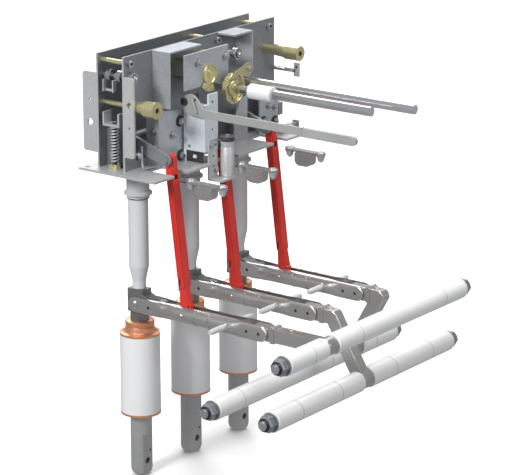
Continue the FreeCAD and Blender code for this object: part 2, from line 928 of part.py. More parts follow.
def blade(name, side):
    """One pressed blade of an arm: flat at the pivot and the tip, half round between, with a dome."""
    body = new_body(name)
    flat = Size(0.3, "0.3")
    pivot = size.head_half + size.face_gap
    tip = size.contact_half + size.face_gap
    end = size.tip_reach + size.blade_height / 2
    stations = [(-size.blade_back, pivot, flat), (size.flat_end, pivot, flat),
                (size.dome_middle, size.barrel_inner, size.dome_rise),
                (size.barrel_start, size.barrel_inner, size.barrel_rise),
                (size.barrel_end, size.barrel_inner, size.barrel_rise),
                (size.tip_start, tip, flat), (end, tip, flat)]
    sketches = [blade_section(body, *station) for station in stations]
    loft = body.newObject("PartDesign::AdditiveLoft", "Loft")
    loft.Profile = sketches[0]
    loft.Sections = sketches[1:]
    loft.Ruled = True
    trim = new_sketch(body, "XZ", 0)
    rectangle(trim, -size.blade_height, -size.blade_height, end + size.blade_height, size.blade_height)
    back = size.blade_height / 2 - size.blade_back
    capsule(trim, (back, 0), (size.tip_reach, 0), size.blade_height / 2, size.blade_height / 2)
    pocket(body, trim, size.blade_height * 2)
    holes = new_sketch(body, "XZ", 0)
    circle(holes, (0, 0), size.pivot_radius + size.slide_gap)
    circle(holes, (size.blade_hole_x, 0), size.blade_rivet_radius)
    circle(holes, (size.tip_hole_x, 0), size.blade_rivet_radius)
    circle(holes, (size.tip_reach, 0), size.blade_rivet_radius)
    pocket(body, holes, size.blade_height * 2)
    if side > 0:
        return body
    other = doc.addObject("Part::Mirroring", name + "Mirrored")
    other.Source = body
    other.Normal = FreeCAD.Vector(0, 1, 0)
    return other


def bar_pin(name, side):
    """Insulating pin that stands out sideways from a blade, with a tapered tip."""
    start = size.barrel_inner + size.blade_gauge + size.barrel_rise - 1
    reach = size.bar_pin_reach
    body = turned(name, [(0, start), (size.bar_pin_radius, start), (size.bar_pin_radius, reach - 6),
                         (size.bar_pin_radius * 0.7, reach), (0, reach)])
    turn = FreeCAD.Rotation(FreeCAD.Vector(1, 0, 0), -90 * side)
    body.Placement = FreeCAD.Placement(FreeCAD.Vector(size.bar_pin_x.value, 0, 0), turn)
    bind(body, "Placement.Base.x", size.bar_pin_x)
    return body


def arm(name, step):
    """Change-over arm: a pair of blades, the drive pin between them and a pair of side pins."""
    tag = "Arm" + name.upper()
    pin_half = size.barrel_inner + size.blade_gauge + size.barrel_rise + 1
    drive_pin = rod(tag + "DrivePin", size.rod_pin_radius, pin_half * 2, size.crank_reach, -pin_half, 0, "Y")
    parts = [blade(tag + "BladeFar", 1), blade(tag + "BladeNear", -1), drive_pin,
             bar_pin(tag + "PinFar", 1), bar_pin(tag + "PinNear", -1)]
    item = fused(tag, parts)
    place(item, 0, phase_y(step), size.arm_z)
    node(item, "arm_" + name)


# Interrupters, heads and push rods

def interrupter(name, step):
    """Vacuum interrupter: ceramic body, copper cup and rings, and the fixed lower terminal."""
    ceramic = turned("Ceramic" + name.upper(), [(0, size.ceramic_bottom), (size.ceramic_radius, size.ceramic_bottom),
                                                (size.ceramic_radius, size.ceramic_top), (0, size.ceramic_top)])
    node(place(ceramic, 0, phase_y(step), 0), "ceramic_" + name)
    rim = size.ceramic_radius - 1.2
    cup = size.cup_radius
    top = size.ceramic_top + size.rim_height
    groove = top + (size.cup_top - top) * 0.45
    caps = turned("CopperCup" + name.upper(), [
        (0, size.ceramic_top), (rim, size.ceramic_top), (rim, top - 1), (cup + 2, top), (cup, top + 1.5),
        (cup, groove), (cup - 1.6, groove + 0.8), (cup - 1.6, groove + 2.2), (cup, groove + 3),
        (cup, size.cup_top - 1), (cup - 1.5, size.cup_top), (0, size.cup_top)])
    low = size.ceramic_bottom
    ring = turned("CopperRing" + name.upper(), [(0, low), (0, low - size.rim_height),
                                                (rim - 2, low - size.rim_height), (rim, low - 1), (rim, low)])
    metal = together("InterrupterMetal" + name.upper(), [caps, ring, terminal(name)])
    node(place(metal, 0, phase_y(step), 0), "interrupter_metal_" + name)


def terminal(name):
    """Lower terminal stem with a rounded end, a flat on its front and a tapped hole in the flat."""
    radius = size.terminal_radius
    top = size.ceramic_bottom - size.rim_height
    low = size.terminal_bottom
    bend = size.terminal_round
    body = turned("Terminal" + name.upper(), [
        (0, top), (0, low), (radius - bend, low), (radius - bend * 0.5, low + bend * 0.134),
        (radius - bend * 0.134, low + bend * 0.5), (radius, low + bend), (radius, top)])
    flat = new_sketch(body, "XZ", -(radius + 1))
    rectangle(flat, size.flat_x, low - 1, radius + 1, size.flat_top)
    pocket(body, flat, radius * 2 + 2, True)
    hole = new_sketch(body, "YZ", size.flat_x)
    circle(hole, (0, size.terminal_hole_z), size.terminal_hole_radius)
    pocket(body, hole, size.terminal_hole_depth)
    return body


def head(name, step):
    """Contact head on an interrupter: hexagon collar, block between the blades, wedge and pivot pin."""
    tag = "Head" + name.upper()
    half = size.head_depth / 2

    def side(sketch):
        polygon(sketch, [(-half, size.collar_top), (size.wedge_front, size.collar_top),
                         (size.wedge_front, size.arm_z + 4), (half, size.head_top - 6),
                         (half, size.head_top), (-half, size.head_top)])
    block_body = slab(tag + "Block", "XZ", -size.head_half, size.head_half * 2, side)
    seat = new_sketch(block_body, "XY", size.head_top)
    circle(seat, (0, 0), size.push_neck_radius - 0.8)
    pocket(block_body, seat, size.push_seat)
    collar = hexagon(tag + "Collar", size.collar_radius, size.collar_top - size.cup_top, 0, 0, size.cup_top)
    reach = size.head_half + size.face_gap + size.blade_gauge + 1.5
    pin = rod(tag + "Pin", size.pivot_radius, reach * 2, 0, -reach, size.arm_z, "Y")
    node(place(fused(tag, [block_body, collar, pin]), 0, phase_y(step), 0), "head_" + name)


def push_rod(name, step):
    """Insulating push rod with a cone to its lower neck, a metal stem through the base and an eye."""
    neck = size.push_neck_radius
    foot = neck - 0.8 - size.slide_gap
    low = size.head_top - size.push_seat + 0.5
    shank = size.eye_half * 0.8
    eye_z = size.lever_shaft_z - size.lever_drop
    body = turned("PushRod" + name.upper(), [
        (0, low), (foot, low), (foot, size.head_top + size.face_gap), (neck, size.head_top + size.face_gap),
        (neck, size.push_cone_low), (size.push_radius, size.push_cone_top), (size.push_radius, size.push_top),
        (size.stem_radius, size.push_top), (size.stem_radius, size.base_gauge + 3),
        (shank, size.base_gauge + 3), (shank, eye_z - size.lever_pin_radius - 1),
        (0, eye_z - size.lever_pin_radius - 1)])
    wide = size.lever_pin_radius + 0.6
    tall = size.lever_pin_radius + 0.05

    def eye(sketch):
        circle(sketch, (0, eye_z), size.eye_radius)
        rectangle(sketch, -wide, eye_z - tall, wide, eye_z + tall)
    extra(body, "XZ", -size.eye_half, size.eye_half * 2, eye)
    node(place(body, 0, phase_y(step), 0), "push_rod_" + name)


def guide_collars():
    """Flanged guide sleeves under the base plate, one round each push rod."""
    inner = size.push_radius + size.slide_gap
    outer = size.guide_radius
    low = -size.guide_length
    wide = size.guide_flange_radius
    sleeves = []
    for name, step in PHASES:
        sleeve = turned("Guide" + name.upper(), [
            (inner, low), (outer, low), (outer, low + 3), (wide, low + 4.5), (wide, low + 7),
            (outer, low + 9), (outer, 0), (inner, 0)])
        sleeves.append(place(sleeve, 0, phase_y(step), 0))
    node(together("GuideCollars", sleeves), "guide_collars")


def interrupter_shaft():
    """Cross shaft with a forked lever and a pin for each push rod."""
    length = size.shaft_right - size.shaft_left
    pieces = [rod("InterrupterBar", size.lever_shaft_radius, length, size.lever_shaft_x,
                  size.shaft_left, size.lever_shaft_z, "Y")]
    pin_z = size.lever_shaft_z - size.lever_drop
    gap = size.eye_half + 0.3
    for name, step in PHASES:
        for side, shift in (("Near", -gap - size.lever_gauge), ("Far", gap)):
            cheek = new_body("Lever" + side + name.upper())
            sketch = new_sketch(cheek, "XZ")
            capsule(sketch, (size.lever_shaft_x, size.lever_shaft_z), (0, pin_z),
                    size.lever_shaft_radius + 3, size.eye_radius)
            pad(cheek, sketch, size.lever_gauge)
            pieces.append(place(cheek, 0, phase_y(step) + shift + size.lever_gauge, 0))
        reach = gap + size.lever_gauge
        pieces.append(rod("LeverPin" + name.upper(), size.lever_pin_radius, reach * 2, 0,
                          phase_y(step) - reach, pin_z, "Y"))
    node(fused("InterrupterShaft", pieces), "interrupter_shaft")


# Busbars and contacts

def busbar(name, x, z, step):
    """Round busbar with insulating sleeves either side of its joint, and a nut and stud at each end."""
    tag = "Bar" + name.title()
    core_half = size.sleeve_half + size.bar_core_past
    parts = [rod(tag + "Core", size.bar_radius, core_half * 2, 0, -core_half, 0, "Y")]
    for side, label in ((-1, "Near"), (1, "Far")):
        nut_from = size.sleeve_half * side if side > 0 else -size.sleeve_half - size.bar_nut_height
        parts.append(hexagon(tag + "Nut" + label, size.bar_nut_radius, size.bar_nut_height, 0, nut_from, 0, "Y"))
        stud_from = size.sleeve_half if side > 0 else -size.sleeve_half - size.bar_stud_length
        parts.append(rod(tag + "Stud" + label, size.bar_stud_radius, size.bar_stud_length,
                         0, stud_from, 0, "Y"))
    node(place(fused(tag + "Conductor", parts), x, 0, z), "busbar_" + name)
    inner = size.bar_radius + size.slide_gap
    joint = phase_y(step)
    sleeves = []
    for low, high, label in ((-size.sleeve_half, joint - size.joint_half, "Near"),
                             (joint + size.joint_half, size.sleeve_half, "Far")):
        sleeves.append(turned(tag + "Sleeve" + label, [(inner, low), (size.sleeve_radius - 1, low),
                                                       (size.sleeve_radius, low + 1),
                                                       (size.sleeve_radius, high - 1),
                                                       (size.sleeve_radius - 1, high), (inner, high)], "Y"))
    node(place(together(tag + "Sleeves", sleeves), x, 0, z), "sleeves_" + name)


def fixed_contact(name, step, x, z, knee):
    """Fixed contact: a blade that the arm closes on, and a tail with an eye round its busbar."""
    half = size.contact_half
    start = size.tip_reach - size.blade_height / 2
    body = new_body("FixedContact" + name.upper())

    def stretch(first, last):
        sketch = new_sketch(body, "XZ", -half)
        capsule(sketch, first, last, size.tail_half, size.tail_half)
        pad(body, sketch, half * 2)
    level = size.arm_z
    corner = (size.tail_knee_x, level) if knee else (x, z)
    stretch((start, level), corner)
    if knee:
        stretch(corner, (x, z))
    eye = new_sketch(body, "XZ", -half)
    circle(eye, (x, z), size.eye_outer)
    pad(body, eye, half * 2)
    bore = new_sketch(body, "XZ", -half)
    circle(bore, (x, z), size.bar_radius + size.slide_gap)
    pocket(body, bore, half * 2, True)
    node(place(body, 0, phase_y(step), 0), "fixed_contact_" + name)


def earth_contact(name, step):
    """Earthing contact: strap, rounded contact block and a bolt through each end of the strap."""
    tag = "Earth" + name.upper()
    half = size.contact_half
    low = size.earth_z - size.earth_height / 2
    top = size.earth_z + size.earth_height / 2

    def side(sketch):
        rectangle(sketch, size.earth_x - size.earth_half, low, size.earth_x + size.earth_half, top)
    block_body = slab(tag + "Block", "XZ", -half, half * 2, side)
    round_edges(block_body, size.earth_height * 0.45, lambda middle, span: abs(span.y) > half.value
                and middle.z < low.value + 0.01)
    strap = slab(tag + "Strap", "XY", top, size.strap_gauge, lambda sketch: capsule(
        sketch, (size.earth_x - size.strap_half, 0), (size.earth_x + size.strap_half, 0),
        size.strap_radius, size.strap_radius))
    parts = [block_body, strap]
    for sign, label in ((-1, "Rear"), (1, "Front")):
        x = size.earth_x + size.strap_half * sign
        parts.append(hexagon(tag + "Nut" + label, size.nut_radius, size.nut_height, x, 0, top - size.nut_height))
        parts.append(rod(tag + "Stud" + label, 3, 9, x, 0, top - 8))
        parts.append(rod(tag + "Head" + label, size.nut_radius, 2, x, 0, top + size.strap_gauge))
    node(place(fused(tag, parts), 0, phase_y(step), 0), "earth_contact_" + name)


# Operating rods, cams and hand lever

def operating_rods():
    """Two drive rods for the front, the lower one with a bush, a cam wheel and a cross hole at its end."""
    start = size.rear_plate_x + size.sheet_gauge + size.face_gap
    upper = rod("UpperRod", size.rod_radius, size.upper_rod_front - start, start,
                size.upper_rod_y, size.upper_rod_z, "X")
    node(upper, "operating_rod_upper")
    node(rod("LowerRod", size.rod_radius, size.lower_rod_front - start, start,
             size.lower_rod_y, size.lower_rod_z, "X"), "operating_rod_lower")
    inner = size.rod_radius + size.slide_gap
    bush = turned("Bush", [(inner, size.bush_rear), (size.bush_radius, size.bush_rear),
                           (size.bush_radius, size.bush_front), (inner, size.bush_front)], "X")
    node(place(bush, 0, size.lower_rod_y, size.lower_rod_z, "X"), "rod_bush")
    back = size.wheel_x
    front = size.wheel_x + size.wheel_width
    wide = size.wheel_radius
    wheel = turned("CamWheel", [(inner, back), (wide, back), (wide, front), (wide - 2.5, front),
                                (wide - 2.5, back + 2.5), (inner + 4, back + 2.5),
                                (inner + 4, front), (inner, front)], "X")
    node(place(wheel, 0, size.lower_rod_y, size.lower_rod_z, "X"), "cam_wheel")


def cam_disc():
    """Dished disc on the carriage plate, with its pin."""
    start = size.carriage_x + size.sheet_gauge
    face = rod("CamDiscPlate", size.disc_radius, 3, start, size.disc_y, size.disc_z, "X")
    pin = rod("CamDiscPin", 3, 4.2, start, size.disc_y, size.disc_z, "X")
    node(fused("CamDisc", [face, pin]), "cam_disc")


def cam_lever():
    """Cam lever keyed on the upper rod."""
    def draw(sketch):
        capsule(sketch, (size.upper_rod_y, size.upper_rod_z), (size.cam_tip_y, size.cam_tip_z),
                size.rod_radius + 7, 8)
        circle(sketch, (size.upper_rod_y, size.upper_rod_z), size.rod_radius + size.slide_gap)
    node(slab("CamLever", "YZ", size.cam_x, size.sheet_gauge, draw), "cam_lever")


def hand_lever():
    """Flat hand lever beside the box: root plate, long bar and rounded grip on one pivot pin."""
    face = size.lever_y
    gauge = size.lever_gauge_y

    def root(sketch):
        capsule(sketch, (size.lever_pivot_x, size.lever_pivot_z), (size.lever_x, size.lever_z), 13, size.lever_half)
    body = slab("HandLever", "XZ", -face, gauge, root)

    def bar(sketch):
        capsule(sketch, (size.lever_x, size.lever_z), (size.grip_start, size.lever_z),
                size.lever_half, size.lever_half)
    extra(body, "XZ", -face, gauge, bar)

    def grip(sketch):
        capsule(sketch, (size.grip_start, size.lever_z), (size.grip_end, size.lever_z),
                size.grip_half, size.grip_half)
    extra(body, "XZ", -face, size.grip_gauge, grip)
    pin_back = size.box_left - size.lever_y
    pin = rod("LeverPin", 4, pin_back + gauge - size.face_gap, size.lever_pivot_x, face - gauge,
              size.lever_pivot_z - 7, "Y")
    node(fused("HandLeverAll", [body, pin]), "hand_lever")


# Spring and rollers at the left end

def left_spring():
    """Compression spring round its guide rod, between a hexagon nut and an open spring seat."""
    length = size.spring_high - size.spring_low
    helix = doc.addObject("Part::Helix", "SpringPath")
    helix.Pitch = length.value / size.turns.value
    helix.Height = length.value
    helix.Radius = size.coil_radius.value
    bind(helix, "Pitch", length / size.turns)
    bind(helix, "Height", length)
    bind(helix, "Radius", size.coil_radius)
    wire = doc.addObject("Part::Circle", "SpringWire")
    wire.Radius = size.wire_radius.value
    bind(wire, "Radius", size.wire_radius)
    wire.Placement = FreeCAD.Placement(FreeCAD.Vector(size.coil_radius.value, 0, 0),
                                       FreeCAD.Rotation(FreeCAD.Vector(1, 0, 0), 90))
    bind(wire, "Placement.Base.x", size.coil_radius)
    coil = doc.addObject("Part::Sweep", "Spring")
    coil.Sections = [wire]
    coil.Spine = (helix, ["Edge1"])
    coil.Solid = True
    coil.Frenet = True
    node(place(coil, size.spring_x, size.spring_y, size.spring_low), "spring")
    nut = hexagon("SpringNut", size.coil_radius + 3.4, size.spring_low - size.base_gauge - 1.2,
                  size.spring_x, size.spring_y, size.base_gauge)
    guide = rod("SpringGuide", size.guide_rod_radius, size.spring_high - size.base_gauge + 6,
                size.spring_x, size.spring_y, size.base_gauge)
    stem = fused("SpringStem", [nut, guide])
    seat_low = size.spring_high + 1.2
    half = size.seat_half

    def channel(sketch):
        wall = size.sheet_gauge
        polygon(sketch, [(size.spring_x - half, seat_low), (size.spring_x + half, seat_low),
                         (size.spring_x + half, seat_low + size.seat_height),
                         (size.spring_x + half - wall, seat_low + size.seat_height),
                         (size.spring_x + half - wall, seat_low + wall),
                         (size.spring_x - half + wall, seat_low + wall),
                         (size.spring_x - half + wall, seat_low + size.seat_height),
                         (size.spring_x - half, seat_low + size.seat_height)])
    seat = slab("SpringSeat", "XZ", -(size.spring_y + size.seat_width / 2), size.seat_width, channel)
    hole = new_sketch(seat, "XY", seat_low)
    circle(hole, (size.spring_x, size.spring_y), size.guide_rod_radius + size.slide_gap)
    pocket(seat, hole, size.sheet_gauge + 1, True)
    node(together("SpringCarrier", [stem, seat]), "spring_carrier")


def rollers():
    """Ball-bearing rollers on a pin across the left end of the frame."""
    start = size.rear_plate_x + size.sheet_gauge
    front = size.front_plate_x + size.sheet_gauge
    pin = rod("RollerPin", size.roller_shaft_radius, front + size.roller_width + 2 - start,
              start, size.roller_y, size.roller_z, "X")
    inner = size.roller_shaft_radius + size.slide_gap
    rings = [pin]
    for label, x in (("Front", front + 0.5), ("Middle", size.front_plate_x - 14), ("Rear", start + 8)):
        ring = turned("Roller" + label, [(inner, 0), (size.roller_radius, 0),
                                         (size.roller_radius, size.roller_width),
                                         (inner, size.roller_width)], "X")
        rings.append(place(ring, x, size.roller_y, size.roller_z, "X"))
    node(together("Rollers", rings), "rollers")


def build():
    base_plate()
    rear_plate()
    front_plate()
    spacer_rods()
    standoffs()
    bridge_brackets()
    carriage_plate()
    fasteners()
    support_plates()
    interlock_box()
    box_foot()
    damper_bracket()
    damper()
    changeover_shaft()
    shaft_bearings()
    interrupter_shaft()
    guide_collars()
    operating_rods()
    cam_disc()
    cam_lever()
    hand_lever()
    left_spring()
    rollers()
    for name, step in PHASES:
        drive_rod(name, step)
        arm(name, step)
        interrupter(name, step)
        head(name, step)
        push_rod(name, step)
        earth_contact(name, step)
    bars = (("top", size.bar_top_x, size.bar_top_z, False), ("front", size.bar_front_x, size.bar_front_z, True),
            ("rear", size.bar_rear_x, size.bar_rear_z, True))
    for (phase, step), (bar, x, z, knee) in zip(PHASES, bars):
        busbar(bar, x, z, step)
        fixed_contact(phase, step, x, z, knee)


def check():
    """Stop if anything in the document failed, or if a node has no sound shape."""
    for item in doc.Objects:
        if "Invalid" in item.State or "Error" in item.State:
            raise RuntimeError("%s failed: %s" % (item.FullName, item.State))
    for item in NODES:
        if item.Shape.isNull() or not item.Shape.isValid():
            raise RuntimeError("%s has no sound shape" % item.Label)


build()
doc.recompute()
check()
os.makedirs("parts", exist_ok=True)
for item in NODES:
    item.Shape.exportStep(os.path.join("parts", item.Label + ".step"))
print("nodes written:", len(NODES))
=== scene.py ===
import math

import bmesh
import bpy
from mathutils import Matrix, Vector
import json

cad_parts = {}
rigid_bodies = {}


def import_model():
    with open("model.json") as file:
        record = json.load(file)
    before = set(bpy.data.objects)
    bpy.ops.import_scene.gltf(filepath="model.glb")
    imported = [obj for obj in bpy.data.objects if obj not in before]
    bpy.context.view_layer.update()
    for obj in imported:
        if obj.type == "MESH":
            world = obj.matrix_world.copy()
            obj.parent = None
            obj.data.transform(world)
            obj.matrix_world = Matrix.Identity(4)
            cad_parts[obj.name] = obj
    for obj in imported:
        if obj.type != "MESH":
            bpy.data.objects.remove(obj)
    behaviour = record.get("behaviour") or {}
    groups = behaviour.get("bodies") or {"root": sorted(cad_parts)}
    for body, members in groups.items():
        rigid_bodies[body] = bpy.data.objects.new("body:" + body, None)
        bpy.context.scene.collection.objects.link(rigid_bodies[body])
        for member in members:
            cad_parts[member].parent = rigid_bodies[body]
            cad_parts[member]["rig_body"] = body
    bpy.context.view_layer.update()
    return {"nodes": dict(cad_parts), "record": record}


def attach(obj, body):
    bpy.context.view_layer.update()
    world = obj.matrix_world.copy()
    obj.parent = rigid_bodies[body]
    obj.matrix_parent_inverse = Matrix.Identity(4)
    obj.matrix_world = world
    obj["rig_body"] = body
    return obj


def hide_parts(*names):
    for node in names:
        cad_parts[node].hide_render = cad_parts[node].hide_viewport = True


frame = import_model()

# Switching module of a ring main unit. Lengths are millimetres until a piece is finished,
# except those of the camera, the floor and the lights, which are metres.
MM = 0.001
X, Y, Z = Vector((1, 0, 0)), Vector((0, 1, 0)), Vector((0, 0, 1))
PHASES = (("a", -100), ("b", 0), ("c", 100))
SLOTS = {part["node"]: part["material_slot"] for part in frame["record"]["subparts"]}

# Front faces of plates
FRONT_PLATE = 9
SUPPORT_PLATE = 27.5
CARRIAGE_PLATE = 44.5
BOX_FACE = 62
DAMPER_STRIP = 64.5

# Axes that run along X, as Y and Z
ROLLERS = (-124, 117)
ROLLER_POST = (37, 124)
CAM_DISC = (-15, 108)
LOWER_ROD = (19, 85)
CAM_LEVER_TIP = (71, 98)

# Arms: their level, and the distances of their pins and holes from the pivot
ARM_LEVEL = -172.5
DRIVE_PIN = 76
SIDE_PIN = 143
ARM_HOLES = (23, 174, 192)

DAMPER = (73, -15.5, 0)
HOLE_MARK = 0.1


# Camera at the photograph's angle

CAMERA_SPOT = (1.9705, -2.4642, 0.8153)
CAMERA_FORWARD = (-0.5760, 0.7672, -0.2822)
CAMERA_LENS = 176.6


def set_camera():
    forward = Vector(CAMERA_FORWARD).normalized()
    right = forward.cross(Z).normalized()
    up = right.cross(forward)
    camera = bpy.data.objects.new("camera", bpy.data.cameras.new("camera"))
    camera.data.lens = CAMERA_LENS
    camera.data.sensor_fit = "HORIZONTAL"
    camera.data.sensor_width = 36
    camera.data.clip_end = 50
    turn = Matrix((right, up, -forward)).transposed()
    camera.matrix_world = Matrix.Translation(CAMERA_SPOT) @ turn.to_4x4()
    bpy.context.scene.collection.objects.link(camera)
    bpy.context.scene.camera = camera


set_camera()


# Materials

COAT_ROUGHNESS = 0.08
LEAST_ROUGHNESS = 0.03
RELIEF_DEPTH = 0.0004
FLECK_SCALE = 320
NOISE_RANGE = (0.3, 0.7)


def finish(name, tones, rough, metal=0.0, patch=9, grain=900, stretch=(1, 1, 1), bump=0.1,
           swing=0.08, coat=0.0, flecks=0.0):
    """Material whose colour drifts between tones in soft patches, with a fine grain in tone, gloss
    and relief. Flecks, where given, are small cells that differ a little in brightness."""
    made = bpy.data.materials.new(name)
    made.use_nodes = True
    nodes, link = made.node_tree.nodes, made.node_tree.links.new
    shader = nodes["Principled BSDF"]
    shader.inputs["Metallic"].default_value = metal
    shader.inputs["Coat Weight"].default_value = coat
    shader.inputs["Coat Roughness"].default_value = COAT_ROUGHNESS

    def noise(vector, scale, detail, roughness):
        item = nodes.new("ShaderNodeTexNoise")
        item.inputs["Scale"].default_value = scale
        item.inputs["Detail"].default_value = detail
        item.inputs["Roughness"].default_value = roughness
        link(vector, item.inputs["Vector"])
        return item.outputs["Fac"]

    def mapped(value, source, target):
        item = nodes.new("ShaderNodeMapRange")
        limits = zip(("From Min", "From Max", "To Min", "To Max"), (*source, *target))
        for socket, limit in limits:
            item.inputs[socket].default_value = limit
        link(value, item.inputs["Value"])
        return item.outputs["Result"]

    def scaled(colour, factor):
        item = nodes.new("ShaderNodeVectorMath")
        item.operation = "SCALE"
        link(colour, item.inputs[0])
        link(factor, item.inputs["Scale"])
        return item.outputs["Vector"]

    coords = nodes.new("ShaderNodeTexCoord").outputs["Object"]
    mapping = nodes.new("ShaderNodeMapping")
    mapping.inputs["Scale"].default_value = stretch
    link(coords, mapping.inputs["Vector"])
    fine = noise(mapping.outputs["Vector"], grain, 5, 0.6)

    ramp = nodes.new("ShaderNodeValToRGB")
    link(noise(coords, patch, 4, 0.55), ramp.inputs["Fac"])
    stops = ramp.color_ramp.elements
    while len(stops) < len(tones):
        stops.new(0.5)
    first, last = NOISE_RANGE
    for index, tone in enumerate(tones):
        stops[index].position = first + (last - first) * index / max(1, len(tones) - 1)
        stops[index].color = (*tone, 1)

    colour = scaled(ramp.outputs["Color"], mapped(fine, NOISE_RANGE, (1 - swing, 1 + swing * 0.5)))
    if flecks:
        cells = nodes.new("ShaderNodeTexVoronoi")
        cells.inputs["Scale"].default_value = FLECK_SCALE
        link(coords, cells.inputs["Vector"])
        split = nodes.new("ShaderNodeSeparateColor")
        link(cells.outputs["Color"], split.inputs["Color"])
        colour = scaled(colour, mapped(split.outputs["Red"], (0, 1), (1 - flecks, 1 + flecks)))
    link(colour, shader.inputs["Base Color"])

    gloss = (max(LEAST_ROUGHNESS, rough - swing), min(1, rough + swing))
    link(mapped(fine, NOISE_RANGE, gloss), shader.inputs["Roughness"])
    relief = nodes.new("ShaderNodeBump")
    relief.inputs["Strength"].default_value = bump
    relief.inputs["Distance"].default_value = RELIEF_DEPTH
    link(fine, relief.inputs["Height"])
    link(relief.outputs["Normal"], shader.inputs["Normal"])
    return made


# Directions in which the grain is drawn out
ROLLED = (1, 0.12, 1)
TURNED = (0.06, 1, 1)
PRESSED = (0.15, 1, 1)
SPUN = (1, 1, 0.1)
DRAWN = (1, 1, 0.2)

LOOKS = {
    "zinc_dark": dict(tones=[(0.25, 0.265, 0.285), (0.33, 0.345, 0.365)],
                      rough=0.36, metal=0.6, stretch=ROLLED, flecks=0.05),
    "zinc_mid": dict(tones=[(0.44, 0.465, 0.50), (0.53, 0.555, 0.585)],
                     rough=0.34, metal=0.5, stretch=ROLLED, flecks=0.05),
    "zinc_light": dict(tones=[(0.50, 0.51, 0.515), (0.58, 0.59, 0.59)],
                       rough=0.38, metal=0.45, stretch=ROLLED, flecks=0.03),
    "box_light": dict(tones=[(0.60, 0.65, 0.69), (0.66, 0.71, 0.75)],
                      rough=0.42, metal=0.1, swing=0.03, bump=0.06),
    "steel_fastener": dict(tones=[(0.52, 0.53, 0.54), (0.64, 0.65, 0.66)],
                           rough=0.24, metal=1.0, patch=40, grain=1400),
    "yellow_chromate": dict(tones=[(0.70, 0.62, 0.32), (0.82, 0.75, 0.44), (0.76, 0.73, 0.42),
                                   (0.74, 0.62, 0.38), (0.86, 0.80, 0.50)],
                            rough=0.26, metal=0.9, patch=34, grain=1500),
    "chrome_rod": dict(tones=[(0.76, 0.77, 0.79), (0.82, 0.83, 0.84)],
                       rough=0.17, metal=1.0, patch=12, grain=2500, stretch=TURNED,
                       bump=0.03, swing=0.04),
    "white_plastic": dict(tones=[(0.75, 0.75, 0.74), (0.79, 0.79, 0.78)],
                          rough=0.34, swing=0.02, bump=0.05, coat=0.25),
    "tube_grey": dict(tones=[(0.60, 0.62, 0.64), (0.65, 0.67, 0.685)],
                      rough=0.34, swing=0.02, bump=0.03, coat=0.25),
    "ceramic": dict(tones=[(0.77, 0.775, 0.78), (0.81, 0.81, 0.815)],
                    rough=0.26, patch=8, grain=300, swing=0.01, bump=0.0, coat=0.5),
    "copper": dict(tones=[(0.80, 0.36, 0.20), (0.86, 0.43, 0.25), (0.76, 0.34, 0.19)],
                   rough=0.38, metal=0.85, patch=30, grain=1500, stretch=SPUN, bump=0.04),
    "interrupter_metal": dict(tones=[(0.47, 0.475, 0.47), (0.54, 0.54, 0.53)],
                              rough=0.40, metal=0.65, patch=18, grain=1200, stretch=DRAWN),
    "contact_metal": dict(tones=[(0.455, 0.445, 0.43), (0.525, 0.515, 0.50)],
                          rough=0.29, metal=0.85, patch=14, grain=1800, stretch=PRESSED,
                          bump=0.01, swing=0.03),
    "red_plastic": dict(tones=[(0.60, 0.022, 0.016), (0.68, 0.035, 0.024)],
                        rough=0.36, patch=25, grain=1500, swing=0.05, bump=0.09, coat=0.1),
    "head_metal": dict(tones=[(0.20, 0.205, 0.21), (0.27, 0.27, 0.275)],
                       rough=0.38, metal=0.8, patch=25, grain=1300),
    "lever_grey": dict(tones=[(0.38, 0.395, 0.38), (0.44, 0.455, 0.44)],
                       rough=0.40, metal=0.3, patch=20, grain=1200, stretch=PRESSED, swing=0.05),
    "grey_plastic": dict(tones=[(0.50, 0.51, 0.52), (0.56, 0.57, 0.58)],
                         rough=0.45, patch=20, bump=0.08),
    "black": dict(tones=[(0.018, 0.018, 0.020), (0.035, 0.035, 0.038)],
                  rough=0.42, patch=60, grain=1500),
    "seam": dict(tones=[(0.22, 0.22, 0.22), (0.28, 0.28, 0.28)],
                 rough=0.5, patch=60, grain=1500),
}
FINISHES = {name: finish(name, **look) for name, look in LOOKS.items()}


# Helpers for making pieces

SHARP_ANGLE = math.radians(32)
BEVEL_ANGLE = math.radians(38)
FLAT_ANGLE = math.radians(0.6)
WELD_DISTANCE = 2e-6
WASHER_GAUGE = 0.9


def arc(middle, radius, angles):
    """Points on a circle about the middle, one for each angle in degrees."""
    return [(middle[0] + radius * math.cos(math.radians(angle)),
             middle[1] + radius * math.sin(math.radians(angle))) for angle in angles]


def settle(piece, body):
    """Shade smooth between sharp edges and ride on the body."""
    for face in piece.data.polygons:
        face.use_smooth = True
    piece.data.set_sharp_from_angle(angle=SHARP_ANGLE)
    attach(piece, body)
    return piece


def soften(piece, width):
    """Break the edges by a small round, the same in every view."""
    edge = piece.modifiers.new("edge", "BEVEL")
    edge.width = width * MM
    edge.segments = 2
    edge.limit_method = "ANGLE"
    edge.angle_limit = BEVEL_ANGLE
    edge.harden_normals = True


